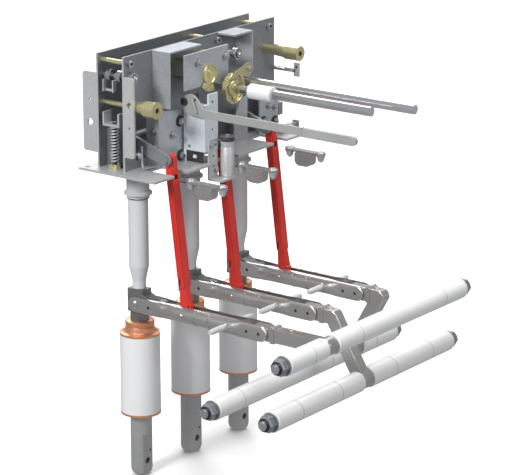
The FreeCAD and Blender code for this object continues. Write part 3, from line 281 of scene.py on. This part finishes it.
class Piece:
    """A mesh made of turned, extruded and bent parts, all with one finish."""

    def __init__(self, name, body, look, slot=None):
        self.name, self.body, self.look, self.slot = name, body, look, slot or look
        self.mesh = bmesh.new()

    def put(self, points, faces):
        corners = [self.mesh.verts.new(point) for point in points]
        for face in faces:
            self.mesh.faces.new([corners[index] for index in face])

    def lathe(self, profile, at, axis=Z, count=36):
        """Turn (radius, height) points about the axis; an open profile is closed into a ring."""
        turn = Z.rotation_difference(axis).to_matrix()
        points, rings = [], []
        for radius, height in profile:
            steps = 1 if radius == 0 else count
            rings.append(range(len(points), len(points) + steps))
            for step in range(steps):
                angle = 2 * math.pi * step / count
                spot = Vector((radius * math.cos(angle), radius * math.sin(angle), height))
                points.append(Vector(at) + turn @ spot)
        pairs = list(zip(rings, rings[1:]))
        if profile[0][0] and profile[-1][0]:
            pairs.append((rings[-1], rings[0]))
        faces = []
        for low, high in pairs:
            for step in range(count):
                after = (step + 1) % count
                face = (low[step % len(low)], low[after % len(low)], high[after % len(high)],
                        high[step % len(high)])
                face = list(dict.fromkeys(face))
                if len(face) > 2:
                    faces.append(face)
        self.put(points, faces)
        return self

    def rod(self, radius, length, at, axis=Z, count=36):
        """Plain round bar or disc that starts at a point."""
        return self.lathe([(0, 0), (radius, 0), (radius, length), (0, length)], at, axis, count)

    def mark(self, radius, at, axis):
        """Thin disc on a face, which stands for a hole; in black, it is the hole's painted shade.
        """
        return self.rod(radius, HOLE_MARK, at, axis, 24)

    def ring(self, inner, outer, low, high, at, axis=Z, count=36):
        """Plain ring between two heights."""
        return self.lathe([(inner, low), (outer, low), (outer, high), (inner, high)],
                          at, axis, count)

    def prism(self, outline, at, along, across, depth):
        """Extrude an outline, drawn in two directions, along their normal."""
        normal = along.cross(across).normalized() * depth
        base = [Vector(at) + along * a + across * b for a, b in outline]
        count = len(base)
        sides = [(i, (i + 1) % count, (i + 1) % count + count, i + count) for i in range(count)]
        self.put(base + [spot + normal for spot in base],
                 sides + [tuple(range(count))[::-1], tuple(range(count, 2 * count))])
        return self

    def box(self, low, high):
        (x0, y0, z0), (x1, y1, z1) = low, high
        return self.prism([(x0, y0), (x1, y0), (x1, y1), (x0, y1)], (0, 0, z0), X, Y, z1 - z0)

    def nut(self, at, axis, radius, height, stud=0.0, washer=0.0):
        """Chamfered hexagon nut or bolt head, with a washer under it and a stud through it."""
        start = Vector(at)
        if washer:
            self.rod(washer, WASHER_GAUGE, start, axis)
            start = start + axis * WASHER_GAUGE
        turn = Z.rotation_difference(axis).to_matrix()
        points, faces = [], []
        for rim, level in ((radius * 0.9, 0), (radius, height * 0.12),
                           (radius, height * 0.82), (radius * 0.86, height)):
            for step in range(6):
                angle = math.pi / 3 * step
                corner = Vector((rim * math.cos(angle), rim * math.sin(angle), level))
                points.append(start + turn @ corner)
        for low in (0, 6, 12):
            for step in range(6):
                after = (step + 1) % 6
                faces.append((low + step, low + after, low + 6 + after, low + 6 + step))
        self.put(points, faces + [tuple(range(6))[::-1], tuple(range(18, 24))])
        if stud:
            self.lathe([(0, height - 0.5), (stud, height - 0.5), (stud, height + 1.2),
                        (stud * 0.8, height + 1.8), (0, height + 1.8)], start, axis, 20)
        return self

    def wire(self, points, radius, count=12):
        """A rod bent through the points, with its corners eased."""
        path = [Vector(point) for point in points]
        for _ in range(3):
            eased = [path[0]]
            for a, b in zip(path, path[1:]):
                eased += [a.lerp(b, 0.25), a.lerp(b, 0.75)]
            path = eased + [path[-1]]
        side = (path[1] - path[0]).orthogonal().normalized()
        points = []
        for index, spot in enumerate(path):
            ahead = path[min(index + 1, len(path) - 1)] - path[max(index - 1, 0)]
            ahead.normalize()
            side = (side - ahead * side.dot(ahead)).normalized()
            other = ahead.cross(side)
            for step in range(count):
                angle = 2 * math.pi * step / count
                points.append(spot + (side * math.cos(angle) + other * math.sin(angle)) * radius)
        faces = [tuple(range(count))[::-1], tuple(range(len(points) - count, len(points)))]
        for low in range(0, len(points) - count, count):
            for step in range(count):
                after = (step + 1) % count
                faces.append((low + step, low + after, low + count + after, low + count + step))
        self.put(points, faces)
        return self

    def done(self, bevel=0.0, replaces=()):
        bmesh.ops.scale(self.mesh, vec=(MM, MM, MM), verts=self.mesh.verts)
        bmesh.ops.recalc_face_normals(self.mesh, faces=self.mesh.faces)
        data = bpy.data.meshes.new(self.name)
        self.mesh.to_mesh(data)
        self.mesh.free()
        piece = bpy.data.objects.new(self.name, data)
        bpy.context.scene.collection.objects.link(piece)
        data.materials.append(FINISHES[self.look])
        settle(piece, self.body)
        if bevel:
            soften(piece, bevel)
        if replaces:
            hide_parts(*replaces)
        return piece


def dressed(node, width=0.35, looks=None, pick=None):
    """A node's own form with its edges broken. Where it has more finishes, pick gives the number
    of the one for a place."""
    source = frame["nodes"][node]
    shape = bmesh.new()
    shape.from_mesh(source.data)
    bmesh.ops.remove_doubles(shape, verts=shape.verts, dist=WELD_DISTANCE)
    bmesh.ops.dissolve_limit(shape, angle_limit=FLAT_ANGLE, verts=shape.verts, edges=shape.edges)
    data = bpy.data.meshes.new("fine_" + node)
    shape.to_mesh(data)
    shape.free()
    piece = bpy.data.objects.new("fine_" + node, data)
    bpy.context.scene.collection.objects.link(piece)
    data.materials.clear()
    for look in looks or [SLOTS[node]]:
        data.materials.append(FINISHES[look])
    for face in data.polygons:
        face.material_index = pick(face.center / MM) if pick else 0
    settle(piece, source["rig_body"])
    soften(piece, width)
    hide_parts(node)
    return piece


# Finishes of the solids, and the solids that show with broken edges

FLANGE_INSIDE = -131.9
SPRING_NUT_TOP = 9
SPRING_GUIDE_TOP = 58
TERMINAL_TOP = -316.05

for name, item in frame["nodes"].items():
    item.data.materials.clear()
    item.data.materials.append(FINISHES[SLOTS[name]])

frame["nodes"]["spring"].data.materials[0] = FINISHES["zinc_light"]
for phase, _ in PHASES:
    frame["nodes"]["push_rod_" + phase].data.materials[0] = FINISHES["tube_grey"]

# Painted light: each plate's flange, past FLANGE_INSIDE, takes the lighter zinc and the rest of
# the plate the darker zinc.
for name in ("rear_plate", "front_plate"):
    dressed(name, looks=["zinc_dark", "zinc_light"],
            pick=lambda spot: 1 if spot.y < FLANGE_INSIDE else 0)
for name in ("base_plate", "bridge_bracket_left", "bridge_bracket_right", "carriage_plate",
             "support_plate_left", "quadrant_plate", "support_plate_right", "interlock_box",
             "box_foot", "damper_bracket", "hand_lever", "cam_lever", "shaft_bearings",
             "interrupter_shaft"):
    dressed(name)
dressed("changeover_shaft", looks=["zinc_dark"])
dressed("spring_carrier", 0.25, ["zinc_light", "yellow_chromate", "black"],
        lambda spot: 1 if spot.z < SPRING_NUT_TOP else 2 if spot.z < SPRING_GUIDE_TOP else 0)
for phase, _ in PHASES:
    dressed("interrupter_metal_" + phase, 0.3, ["copper", "interrupter_metal"],
            lambda spot: 1 if spot.z < TERMINAL_TOP else 0)
    dressed("fixed_contact_" + phase, 2.2)
    dressed("head_" + phase, 0.8)
    dressed("drive_rod_" + phase, 0.5)


# Fasteners

SPACER_LEVEL = 135
SPACER_SCREWS = (-125, 45, 152)
CARRIAGE_NUTS = ((-37, 124), (17, 124))
SUPPORT_SCREWS = ((-52, 53), (-51, 10), (118, 19), (142, 15))
SUPPORT_NUT = (-66, 38)
SUPPORT_SIDE = -91.7
SUPPORT_SIDE_SCREWS = (46, 25)
FAR_SUPPORT_NUTS = ((128, 37), (141, 33))
STRIP_SCREWS = ((-37, 24), (-28, -8))
BOX_SIDE = -46
BOX_RIVETS = ((38, 22), (38, 70), (55, 70))


def fasteners():
    steel = Piece("frame_fasteners", "frame", "steel_fastener")
    # Black washers under the support screws, and painted shade in the spacer screws' sockets.
    dark = Piece("dark_washers_and_socket_shade", "frame", "black", "steel_fastener")
    for y in SPACER_SCREWS:
        spot = (FRONT_PLATE, y, SPACER_LEVEL)
        steel.lathe([(0, 0), (4.2, 0), (4.2, 4.4), (3.7, 5), (2.1, 5), (2.1, 2.6), (0, 2.6)],
                    spot, X)
        # Painted shade: a black hexagon at the bottom of each spacer screw's socket.
        dark.lathe([(0, 2.65), (2, 2.65), (2, 2.8), (0, 2.8)], spot, X, 6)
    for place in CARRIAGE_NUTS:
        steel.nut((CARRIAGE_PLATE, *place), X, 5, 3.4, stud=2.6, washer=5.6)
    for y, z in SUPPORT_SCREWS:
        dark.lathe([(0, 0), (7, 0), (7, 0.8), (6.4, 1.1), (0, 1.1)], (SUPPORT_PLATE, y, z), X)
        steel.nut((SUPPORT_PLATE + 0.9, y, z), X, 4.7, 3.2, stud=2.4)
    steel.nut((SUPPORT_PLATE, *SUPPORT_NUT), X, 4.7, 3.2, stud=2.4, washer=6)
    for z in SUPPORT_SIDE_SCREWS:
        steel.nut((19, SUPPORT_SIDE, z), -Y, 3.6, 2.2, washer=4.4)
    for place in FAR_SUPPORT_NUTS:
        steel.nut((SUPPORT_PLATE, *place), X, 3.8, 2.8, stud=1.9, washer=4.6)
    for place in STRIP_SCREWS:
        steel.nut((DAMPER_STRIP, *place), X, 3.2, 2.2, washer=3.9)
    for x, z in BOX_RIVETS:
        steel.lathe([(0, 0), (2.1, 0), (1.7, 0.9), (0, 1.1)], (x, BOX_SIDE, z), -Y, 20)
    steel.done(replaces=("fasteners",))
    dark.done()


fasteners()


# Left end: rollers, fork and bent wire

ROLLER_BACKS = (9.5, -7.5, -23.5)


def left_end():
    steel = Piece("roller_rings", "frame", "steel_fastener")
    steel.rod(3, 50.5, (-31.5, *ROLLERS), X)
    for x in ROLLER_BACKS:
        steel.ring(5.4, 7.5, 0, 7, (x, *ROLLERS), X)
        steel.ring(3.02, 4.3, 0.4, 6.6, (x, *ROLLERS), X)
    steel.nut((16.6, *ROLLERS), X, 3.6, 2.6, stud=1.6)
    steel.done(0.15, replaces=("rollers",))
    seal = Piece("roller_seals", "frame", "black", "steel_fastener")
    for x in ROLLER_BACKS:
        seal.ring(4.3, 5.4, 0.5, 6.5, (x, *ROLLERS), X)
    seal.done()

    fork = Piece("roller_fork", "frame", "zinc_light")
    fork.box((-10.5, -133.5, 98), (-8.5, -127, 113)).box((-25.5, -133.5, 98), (-24, -127, 113))
    fork.box((-25.5, -128.6, 98), (-8.5, -127, 101))
    fork.done(0.3)
    wire = Piece("bent_wire", "frame", "zinc_mid")
    wire.wire([(23, -119, 34), (23, -119, 10), (24, -117, 5.2), (26, -108, 5), (26, -97, 5)], 1.1)
    wire.done()
    stub = Piece("tie_rod", "frame", "chrome_rod")
    stub.rod(2.6, 33, (FRONT_PLATE, -58, 108), X)
    stub.done()


left_end()


# Cams and the roller on the carriage plate

def cams():
    post = Piece("roller_post", "frame", "steel_fastener")
    post.rod(3, 35, (FRONT_PLATE, *ROLLER_POST), X)
    post.ring(5.2, 7.4, 0, 6.4, (43.5, *ROLLER_POST), X)
    post.nut((49.4, *ROLLER_POST), X, 4, 2.6, stud=1.6)
    post.done(0.15)
    seal = Piece("roller_post_seal", "frame", "black", "steel_fastener")
    seal.lathe([(0, 0.3), (5.2, 0.3), (5.2, 6.1), (0, 6.1)], (43.5, *ROLLER_POST), X)
    seal.done()

    disc = Piece("cam_disc_dish", "frame", "yellow_chromate")
    disc.lathe([(0, 0), (13, 0), (13, 2.6), (12.4, 3), (11.2, 3), (10.4, 1.4), (6, 1.2),
                (4.6, 2.6), (0, 2.6)], (CARRIAGE_PLATE, *CAM_DISC), X, 56)
    disc.nut((46.8, *CAM_DISC), X, 3.4, 1.8)
    disc.done(replaces=("cam_disc",))
    sector = Piece("cam_sector", "frame", "yellow_chromate")
    outline = arc(CAM_DISC, 22, range(-140, -69, 7)) + arc(CAM_DISC, 14, range(-70, -141, -7))
    sector.prism(outline, (46, 0, 0), Y, Z, 1.6)
    sector.box((CARRIAGE_PLATE, -21, 92), (46.2, -12, 98))
    sector.done(0.3)

    wheel = Piece("cam_wheel_dish", "lower_rod", "yellow_chromate")
    wheel.lathe([(6.04, 0), (19, 0), (19.5, 0.5), (19.5, 6.5), (19.1, 7), (17.4, 7), (17, 6.4),
                 (17, 2.6), (13.6, 1.8), (11, 2.4), (10.4, 5.2), (9.6, 6.2), (6.04, 6.6)],
                (52.5, *LOWER_ROD), X, 72)
    wheel.done(replaces=("cam_wheel",))
    screws = Piece("cam_wheel_screws", "lower_rod", "steel_fastener")
    for place in arc(LOWER_ROD, 13.8, (35, 155, 275)):
        screws.nut((54.6, *place), X, 2.2, 1.5)
    screws.done()
    bush = Piece("rod_bush_moulded", "lower_rod", "white_plastic")
    bush.lathe([(6.04, 0), (8.8, 0), (9.5, 0.7), (9.5, 5), (9.2, 5.4), (9.2, 6.2), (9.5, 6.6),
                (9.5, 33.3), (8.8, 34), (6.04, 34)], (83, *LOWER_ROD), X, 56)
    bush.done(replaces=("rod_bush",))
    tip = Piece("cam_lever_roller", "upper_rod", "steel_fastener")
    tip.rod(4.6, 1, (40.5, *CAM_LEVER_TIP), X)
    tip.nut((41.5, *CAM_LEVER_TIP), X, 3.4, 2.2)
    tip.done(0.12)


cams()


# Root and grip of the hand lever

LEVER_FACE = -53
LEVER_HOLES = ((52.2, 83), (54.2, 69))
LEVER_LEAN = Vector((0.35, 0, -0.937))
LEVER_CROSS = Vector((0.937, 0, 0.35))


def lever_details():
    root = Piece("lever_root_washer_and_hole_shade", "hand_lever", "black", "lever_grey")
    root.lathe([(0, 0), (4.8, 0), (4.8, 2), (4.2, 2.6), (0, 2.6)], (36.5, LEVER_FACE, 79), -Y)
    # Painted shade: thin black discs where the lever's holes are.
    for x, z in LEVER_HOLES:
        root.rod(1.7, 0.12, (x, LEVER_FACE, z), -Y, 24)
    root.done()
    flange = Piece("lever_root_flange", "hand_lever", "lever_grey")
    flange.prism([(-9, -1.2), (9, -1.2), (9, 1.2), (-9, 1.2)], (53.5, -54.2, 76),
                 LEVER_LEAN, LEVER_CROSS, 3.2)
    flange.done(0.4)
    seam = Piece("grip_seam", "hand_lever", "seam", "lever_grey")
    seam.box((213.6, -55.05, 61.3), (214.2, -49.95, 72.7))
    seam.done()


lever_details()


# Interlock box and damper

BOX_HOLES = (78, 60, 24)
STRIP_HOLES = ((-28, 24), (-32, -2))


def box_details():
    # Painted shade: black discs where the holes in the box face and in the damper strip are.
    marks = Piece("strip_holes", "frame", "black", "box_light")
    for z in BOX_HOLES:
        marks.mark(1.5, (BOX_FACE, -31, z), X)
    for place in STRIP_HOLES:
        marks.mark(1.4, (DAMPER_STRIP, *place), X)
    marks.done()
    fold = Piece("box_lip", "frame", "box_light")
    fold.box((29.4, -46.6, 74.2), (62.4, -37.6, 75.6)).box((29.4, -46.7, 17), (30.6, -37.6, 75))
    fold.done(0.4)
    # Painted shade: a thin black sheet over the recess low on the box's side.
    recess = Piece("box_recess_shade", "frame", "black", "box_light")
    recess.box((34, -46.9, 3.1), (60, -46.5, 16.6))
    recess.done()
    skirt = Piece("box_skirt", "frame", "box_light")
    skirt.box((29.5, -47.3, 3.1), (34, -46.3, 17.2)).box((45, -48.2, 8.5), (50, -46.8, 12.5))
    skirt.done(0.3)

    damper = Piece("damper_turned", "frame", "zinc_light")
    damper.lathe([(0, -16.5), (7.6, -16.5), (8.5, -15.6), (8.5, 20), (8.2, 20.6), (8.2, 22),
                  (8.5, 22.6), (8.5, 27), (7.6, 28), (0, 28)], DAMPER, Z, 56)
    damper.done(replaces=("damper",))
    leaves = Piece("damper_washers", "frame", "head_metal", "steel_fastener")
    for level in (28.2, 30.4, 32.6):
        leaves.lathe([(3, level), (9.5, level + 0.4), (9.5, level + 1.1), (3, level + 1.7)],
                     DAMPER, Z, 48)
    leaves.lathe([(0, 27.5), (3.4, 27.5), (3.4, 35.4), (2.8, 36), (0, 36)], DAMPER)
    leaves.done()


box_details()


# Right end: pin, stops, tab and coil

COIL_AXIS = (45, 9)
COIL_RADIUS = 3.6
COIL_START = 133
COIL_STEPS = 112
COIL_TURN = 0.5
COIL_RISE = 0.26


def right_end():
    pin = Piece("right_pins", "frame", "chrome_rod")
    pin.lathe([(0, 0), (1.7, 0), (1.7, 20), (1.2, 21), (0, 21)], (FRONT_PLATE, 159, 80), X)
    pin.done()
    dark = Piece("right_stops", "frame", "zinc_dark")
    dark.box((9, 153, 20), (26, 162, 36)).box((9, 156, 107), (26, 164, 110))
    dark.done(0.6)
    tab = Piece("right_tab", "frame", "zinc_light")
    tab.box((9, 161.5, 77), (46, 163.3, 82)).box((43, 161.5, 72), (52, 163.3, 90))
    tab.done(0.4)
    # Painted shade: a black disc on each side of the tab where its hole is.
    hole = Piece("right_tab_hole", "frame", "black", "zinc_light")
    for side, normal in ((161.5, -Y), (163.3, Y)):
        hole.mark(1.8, (47.5, side, 84.5), normal)
    hole.done()

    coil = Piece("right_coil", "frame", "steel_fastener")
    x, z = COIL_AXIS
    coil.wire([(x + COIL_RADIUS * math.cos(step * COIL_TURN), COIL_START + step * COIL_RISE,
                z + COIL_RADIUS * math.sin(step * COIL_TURN)) for step in range(COIL_STEPS)],
              0.8, 8)
    coil.rod(2.2, 34, (x, 130.5, z), Y)
    coil.done()
    ears = Piece("right_coil_ears", "frame", "zinc_mid")
    ears.box((40, 129.5, 3), (50, 131.5, 14.5)).box((40, 163.5, 3), (50, 165.5, 14.5))
    ears.done(0.4)


right_end()


# Arms

ARM_STATIONS = (
    # distance, inner edge, outer middle, roundness
    (-9, 9.0, 11.5, 0.22), (26, 9.0, 11.5, 0.22), (34, 8.4, 12.4, 0.50), (42, 6.6, 14.2, 0.90),
    (50, 6.4, 13.2, 0.90), (56, 5.2, 13.5, 0.95), (61, 4.9, 14.8, 1.0), (118, 4.9, 14.8, 1.0),
    (152, 5.2, 14.8, 1.0), (159, 6.6, 13.2, 0.8), (166, 8.1, 11.2, 0.45), (204, 8.1, 11.0, 0.45))
ARM_HALF = 10
ARM_ROOT = 1
ARM_TIP = 194
BLADE_GAUGE = 2.3
BLADE_STEPS = 13
BEADS = (96, 118)


def arm_station(x):
    """Section values at a distance along the arm, eased between the listed stations."""
    for first, second in zip(ARM_STATIONS, ARM_STATIONS[1:]):
        if x <= second[0]:
            part = (x - first[0]) / (second[0] - first[0])
            part = part * part * (3 - 2 * part)
            return [low + (high - low) * part for low, high in zip(first[1:], second[1:])]
    return ARM_STATIONS[-1][1:]


def blade_section(x):
    """Outline of one blade at a distance along the arm, as distance from the middle and height."""
    inner, outer, bend = arm_station(x)
    past = max(ARM_ROOT - x, x - ARM_TIP, 0)
    high = math.sqrt(max(0.01, ARM_HALF ** 2 - past ** 2))
    turns = [math.pi * (step / (BLADE_STEPS - 1) - 0.5) for step in range(BLADE_STEPS)]
    outside = [(inner + (outer - inner) * math.cos(turn) ** bend, high * math.sin(turn))
               for turn in turns]
    hollow = max(0.0, outer - BLADE_GAUGE - inner)
    inside = [(inner + hollow * math.cos(turn) ** bend - 0.02, high * 0.95 * math.sin(turn))
              for turn in reversed(turns)]
    return outside + inside


def arm_blades(phase, y):
    """Pressed blades with flat eyes at both ends and a slotted barrel between, and their pins."""
    blades = Piece("arm_blades_" + phase, "arm_" + phase, "contact_metal")
    quarter = [math.radians(angle) for angle in range(0, 91, 10)]
    places = [ARM_ROOT - ARM_HALF * math.cos(turn) for turn in quarter]
    places += range(5, ARM_TIP, 3)
    places += [ARM_TIP + ARM_HALF * math.sin(turn) for turn in quarter]
    size = BLADE_STEPS * 2
    last = (len(places) - 1) * size
    for side in (-1, 1):
        points = [(x, y + a * side, ARM_LEVEL + b) for x in places for a, b in blade_section(x)]
        faces = [tuple(range(size))[::-1], tuple(range(last, last + size))]
        for low in range(0, last, size):
            for step in range(size):
                after = (step + 1) % size
                faces.append((low + step, low + after, low + size + after, low + size + step))
        blades.put(points, faces)
        blades.lathe([(0, 0), (3.6, 0), (3.6, 0.7), (2.8, 1.3), (0, 1.3)],
                     (DRIVE_PIN, y + 14.4 * side, ARM_LEVEL), Y * side)
        blades.lathe([(0, 0), (5.4, 0), (5.2, 1), (4.6, 1.5), (0, 1.5)],
                     (SIDE_PIN, y + 13.9 * side, ARM_LEVEL), Y * side)
        for x in BEADS:
            blades.wire([(x, y + (5.2 + 9.9 * math.cos(math.radians(angle))) * side,
                          ARM_LEVEL + 10.2 * math.sin(math.radians(angle)))
                         for angle in range(-78, 79, 12)], 0.4, 6)
    blades.rod(3, 29, (DRIVE_PIN, y - 14.5, ARM_LEVEL), Y)
    blades.done(replaces=("arm_" + phase,))

    # Painted shade: black discs on the blades where their holes are.
    holes = Piece("arm_holes_" + phase, "arm_" + phase, "black", "contact_metal")
    pins = Piece("arm_pins_" + phase, "arm_" + phase, "grey_plastic")
    for side in (-1, 1):
        for x in ARM_HOLES:
            holes.mark(2, (x, y + arm_station(x)[1] * side, ARM_LEVEL), Y * side)
        pins.lathe([(0, 14), (3.8, 14), (3.8, 22), (3.5, 22.4), (3.5, 23.4), (3.8, 23.8),
                    (3.8, 28), (3.5, 28.4), (3.5, 29.4), (3.8, 29.8), (3.8, 36), (2.7, 42),
                    (0, 42)], (SIDE_PIN, y, ARM_LEVEL), Y * side)
    holes.done()
    pins.done()


# Drive rods, and the small pieces on each phase

ROD_ALONG = Vector((-24, 0, 191.5)).normalized()
ROD_OUT = Vector((191.5, 0, 24)).normalized()


def drive_rod_details(phase, y):
    """Cover, ridges and heel of the drive rod, and painted shade in its notches: thin black
    sheets.
    """
    foot = Vector((DRIVE_PIN, y, ARM_LEVEL))
    ribs = Piece("drive_rod_ribs_" + phase, "drive_rod_" + phase, "red_plastic")
    ribs.prism([(4.5, 36), (5, 36), (5, 168), (4.5, 168)], foot + Y * 6.4,
               ROD_OUT, ROD_ALONG, 12.8)
    for edge in (-4.2, -0.9, 2.6):
        ridge = [(edge, 46), (edge + 1.6, 46), (edge + 1.6, 168), (edge, 168)]
        for start in (7.2, -6.4):
            ribs.prism(ridge, foot + Y * start, ROD_OUT, ROD_ALONG, 0.8)
    ribs.prism([(4.2, -5.5), (7.6, -5.5), (8.4, 0), (8.2, 12), (6.6, 13), (4.4, 11)],
               foot + Y * 4.3, ROD_OUT, ROD_ALONG, 8.6)
    ribs.done(0.3)
    # Painted shade: a thin black sheet on each face of the rod where its notch is.
    notch = Piece("drive_rod_notch_shade_" + phase, "drive_rod_" + phase, "black", "red_plastic")
    for start in (6.7, -6.4):
        notch.prism([(-3.9, 36), (-1.4, 36), (0.4, 45), (-2.4, 45)], foot + Y * start,
                    ROD_OUT, ROD_ALONG, 0.3)
    notch.done()


def phase_details(phase, y):
    """Clip on the crank pin, pivot bolts, the painted shadow ring at the guide, the bands of the
    interrupter, and painted shade in its hole.
    """
    clip = Piece("crank_pin_clip_" + phase, "changeover_shaft", "steel_fastener")
    clip.lathe([(0, 0), (5, 0), (5, 0.7), (3.4, 0.9), (3.4, 1.6), (0, 1.6)],
               (52, y + 4.15, 19), Y)
    clip.done()
    pivot = Piece("pivot_bolt_" + phase, "frame", "steel_fastener", "head_metal")
    for side in (-1, 1):
        pivot.lathe([(0, 0), (6, 0), (6, 0.8), (4.6, 1.6), (4.2, 2.2), (0, 2.4)],
                    (0, y + 11.6 * side, ARM_LEVEL), Y * side)
    pivot.done(0.15)
    shadow = Piece("guide_shadow_ring_" + phase, "frame", "black", "grey_plastic")
    shadow.ring(12.6, 14.3, -37.5, -36.6, (0, y, 0), Z, 56)
    shadow.done()
    band = Piece("ceramic_bands_" + phase, "frame", "copper", "interrupter_metal")
    for low, high in ((-212.2, -209.6), (-315.6, -312.8)):
        band.ring(23.6, 25.3, low, high, (0, y, 0), Z, 72)
    band.done()
    # Painted shade: a black disc where the terminal's pilot hole is.
    hole = Piece("terminal_pilot_" + phase, "frame", "black", "interrupter_metal")
    hole.mark(1.6, (10, y + 5, -366), X)
    hole.done()


EARTH_EYES = (83, 131)


def earth_details(phase, y):
    """Earthing contact: rounded plug under a strap, with a bolt through the eye at each end."""
    plug = [(95, -6), (119, -6)]
    plug += arc((112, -15.5), 7, range(0, -91, -10)) + arc((102, -15.5), 7, range(-90, -181, -10))
    metal = Piece("earth_plug_" + phase, "frame", "contact_metal")
    metal.prism(plug, (0, y + 7, 0), X, Z, 14)
    metal.prism([(83, -4.6), (131, -4.6), (131, 4.6), (83, 4.6)], (0, y, -6), X, Y, 3)
    for x in EARTH_EYES:
        metal.lathe([(0, -6.6), (6.2, -6.6), (6.2, -2.6), (5.6, -2), (0, -2)], (x, y, 0))
    metal.done(0.6, replaces=("earth_contact_" + phase,))
    bolts = Piece("earth_bolts_" + phase, "frame", "zinc_mid", "contact_metal")
    for x in EARTH_EYES:
        bolts.lathe([(0, -2), (4.2, -2), (3.9, -1.1), (0, -0.8)], (x, y, 0))
        bolts.lathe([(0, -9), (5.2, -9), (5.2, -6.6), (0, -6.6)], (x, y, 0))
        bolts.nut((x, y, -9), -Z, 4.4, 4, stud=2.6)
    bolts.done(0.2)


CONTACT_BOLTS = {"a": 232, "b": 217, "c": 217}
CONTACT_BOLT_LEVEL = -164.2


def contact_details(phase, y):
    """Collar and bolt on the fixed contact, just past the arm's tip."""
    collar = Piece("contact_collar_" + phase, "frame", "contact_metal")
    collar.prism([(0, -9.6), (6, -9.6), (6, 9.6), (3, 11.4), (0, 9.6)], (207, y + 8.6, ARM_LEVEL),
                 X, Z, 17.2)
    collar.nut((CONTACT_BOLTS[phase], y, CONTACT_BOLT_LEVEL), Z, 3.6, 2.6)
    collar.done(0.5)


for phase, y in PHASES:
    drive_rod_details(phase, y)
    arm_blades(phase, y)
    phase_details(phase, y)
    earth_details(phase, y)
    contact_details(phase, y)


# Busbars: their cores, seams, nuts and studs

BUSBARS = (
    # name, X, Z, middle of the joint along Y
    ("top", 285, -172, -100), ("front", 267, -245, 0), ("rear", 181, -249, 100))
CORE_HALF = 186
STUD_START = 198.6
END_SEAM = 138
JOINT_SEAM = 58
LAST_SEAM = 150


def busbar_trim(name, x, z, joint):
    seams = Piece("sleeve_seams_" + name, "frame", "seam", "white_plastic")
    for spot in (-END_SEAM, END_SEAM, joint - JOINT_SEAM, joint + JOINT_SEAM):
        if abs(spot) < LAST_SEAM:
            seams.ring(12.8, 13.06, -0.3, 0.3, (x, spot, z), Y, 64)
    seams.done()
    nut = Piece("bar_end_nuts_" + name, "frame", "zinc_dark", "steel_fastener")
    dark = Piece("bar_end_rings_" + name, "frame", "black", "steel_fastener")
    stud = Piece("bar_end_studs_" + name, "frame", "steel_fastener")
    for side in (-1, 1):
        nut.ring(8.1, 12.1, 0, 1.6, (x, CORE_HALF * side, z), Y * side, 48)
        nut.nut((x, (CORE_HALF + 1.6) * side, z), Y * side, 11, 11)
        dark.ring(6.05, 8.2, 0, 0.7, (x, STUD_START * side, z), Y * side, 48)
        stud.lathe([(0, 0), (5.9, 0), (5.9, 4), (4.6, 5.6), (0, 5.6)],
                   (x, STUD_START * side, z), Y * side, 40)
    nut.done(0.3)
    dark.done()
    stud.done(replaces=("busbar_" + name,))
    core = Piece("bar_core_" + name, "frame", "steel_fastener")
    core.lathe([(0, -CORE_HALF), (8, -CORE_HALF), (8, CORE_HALF), (0, CORE_HALF)],
               (x, 0, z), Y, 40)
    core.done()


for name, x, z, joint in BUSBARS:
    busbar_trim(name, x, z, joint)


# Floor, light and surroundings

FLOOR_SIZE = 16
FLOOR_LEVEL = -0.3985
WORLD_COLOUR = (0.96, 0.97, 1, 1)
WORLD_STRENGTH = 0.38
MODULE = (0.08, 0, -0.12)
BACKDROP = (-1.5, 2.2, -0.4)
LIGHTS = (
    # name, place, watts, width, aim
    ("key", (0.0, -2.9, 1.6), 88, 0.8, MODULE), ("top", (0.2, 0.2, 3.0), 66, 2.4, MODULE),
    ("front", (3.0, -0.2, 1.4), 24, 1.0, MODULE), ("rim", (-2.2, 1.6, 1.6), 16, 1.2, MODULE),
    ("back", (-1.5, 2.1, 2.4), 70, 2.6, BACKDROP))


def surroundings():
    bpy.ops.mesh.primitive_plane_add(size=FLOOR_SIZE, location=(0, 0, FLOOR_LEVEL))
    floor = bpy.context.object
    floor.name = "floor"
    floor.data.materials.append(finish("floor", [(0.86, 0.86, 0.86), (0.88, 0.88, 0.88)], 0.7,
                                       patch=2, grain=60, bump=0.02, swing=0.01))
    floor.visible_diffuse = floor.visible_glossy = False
    world = bpy.data.worlds.new("studio")
    bpy.context.scene.world = world
    world.use_nodes = True
    background = world.node_tree.nodes["Background"]
    background.inputs["Color"].default_value = WORLD_COLOUR
    background.inputs["Strength"].default_value = WORLD_STRENGTH
    bpy.context.scene.view_settings.view_transform = "Standard"
    for name, spot, power, width, aim in LIGHTS:
        light = bpy.data.objects.new(name, bpy.data.lights.new(name, "AREA"))
        light.data.energy = power
        light.data.size = width
        light.location = spot
        way = Vector(aim) - Vector(spot)
        light.rotation_euler = way.to_track_quat("-Z", "Y").to_euler()
        bpy.context.scene.collection.objects.link(light)


surroundings()
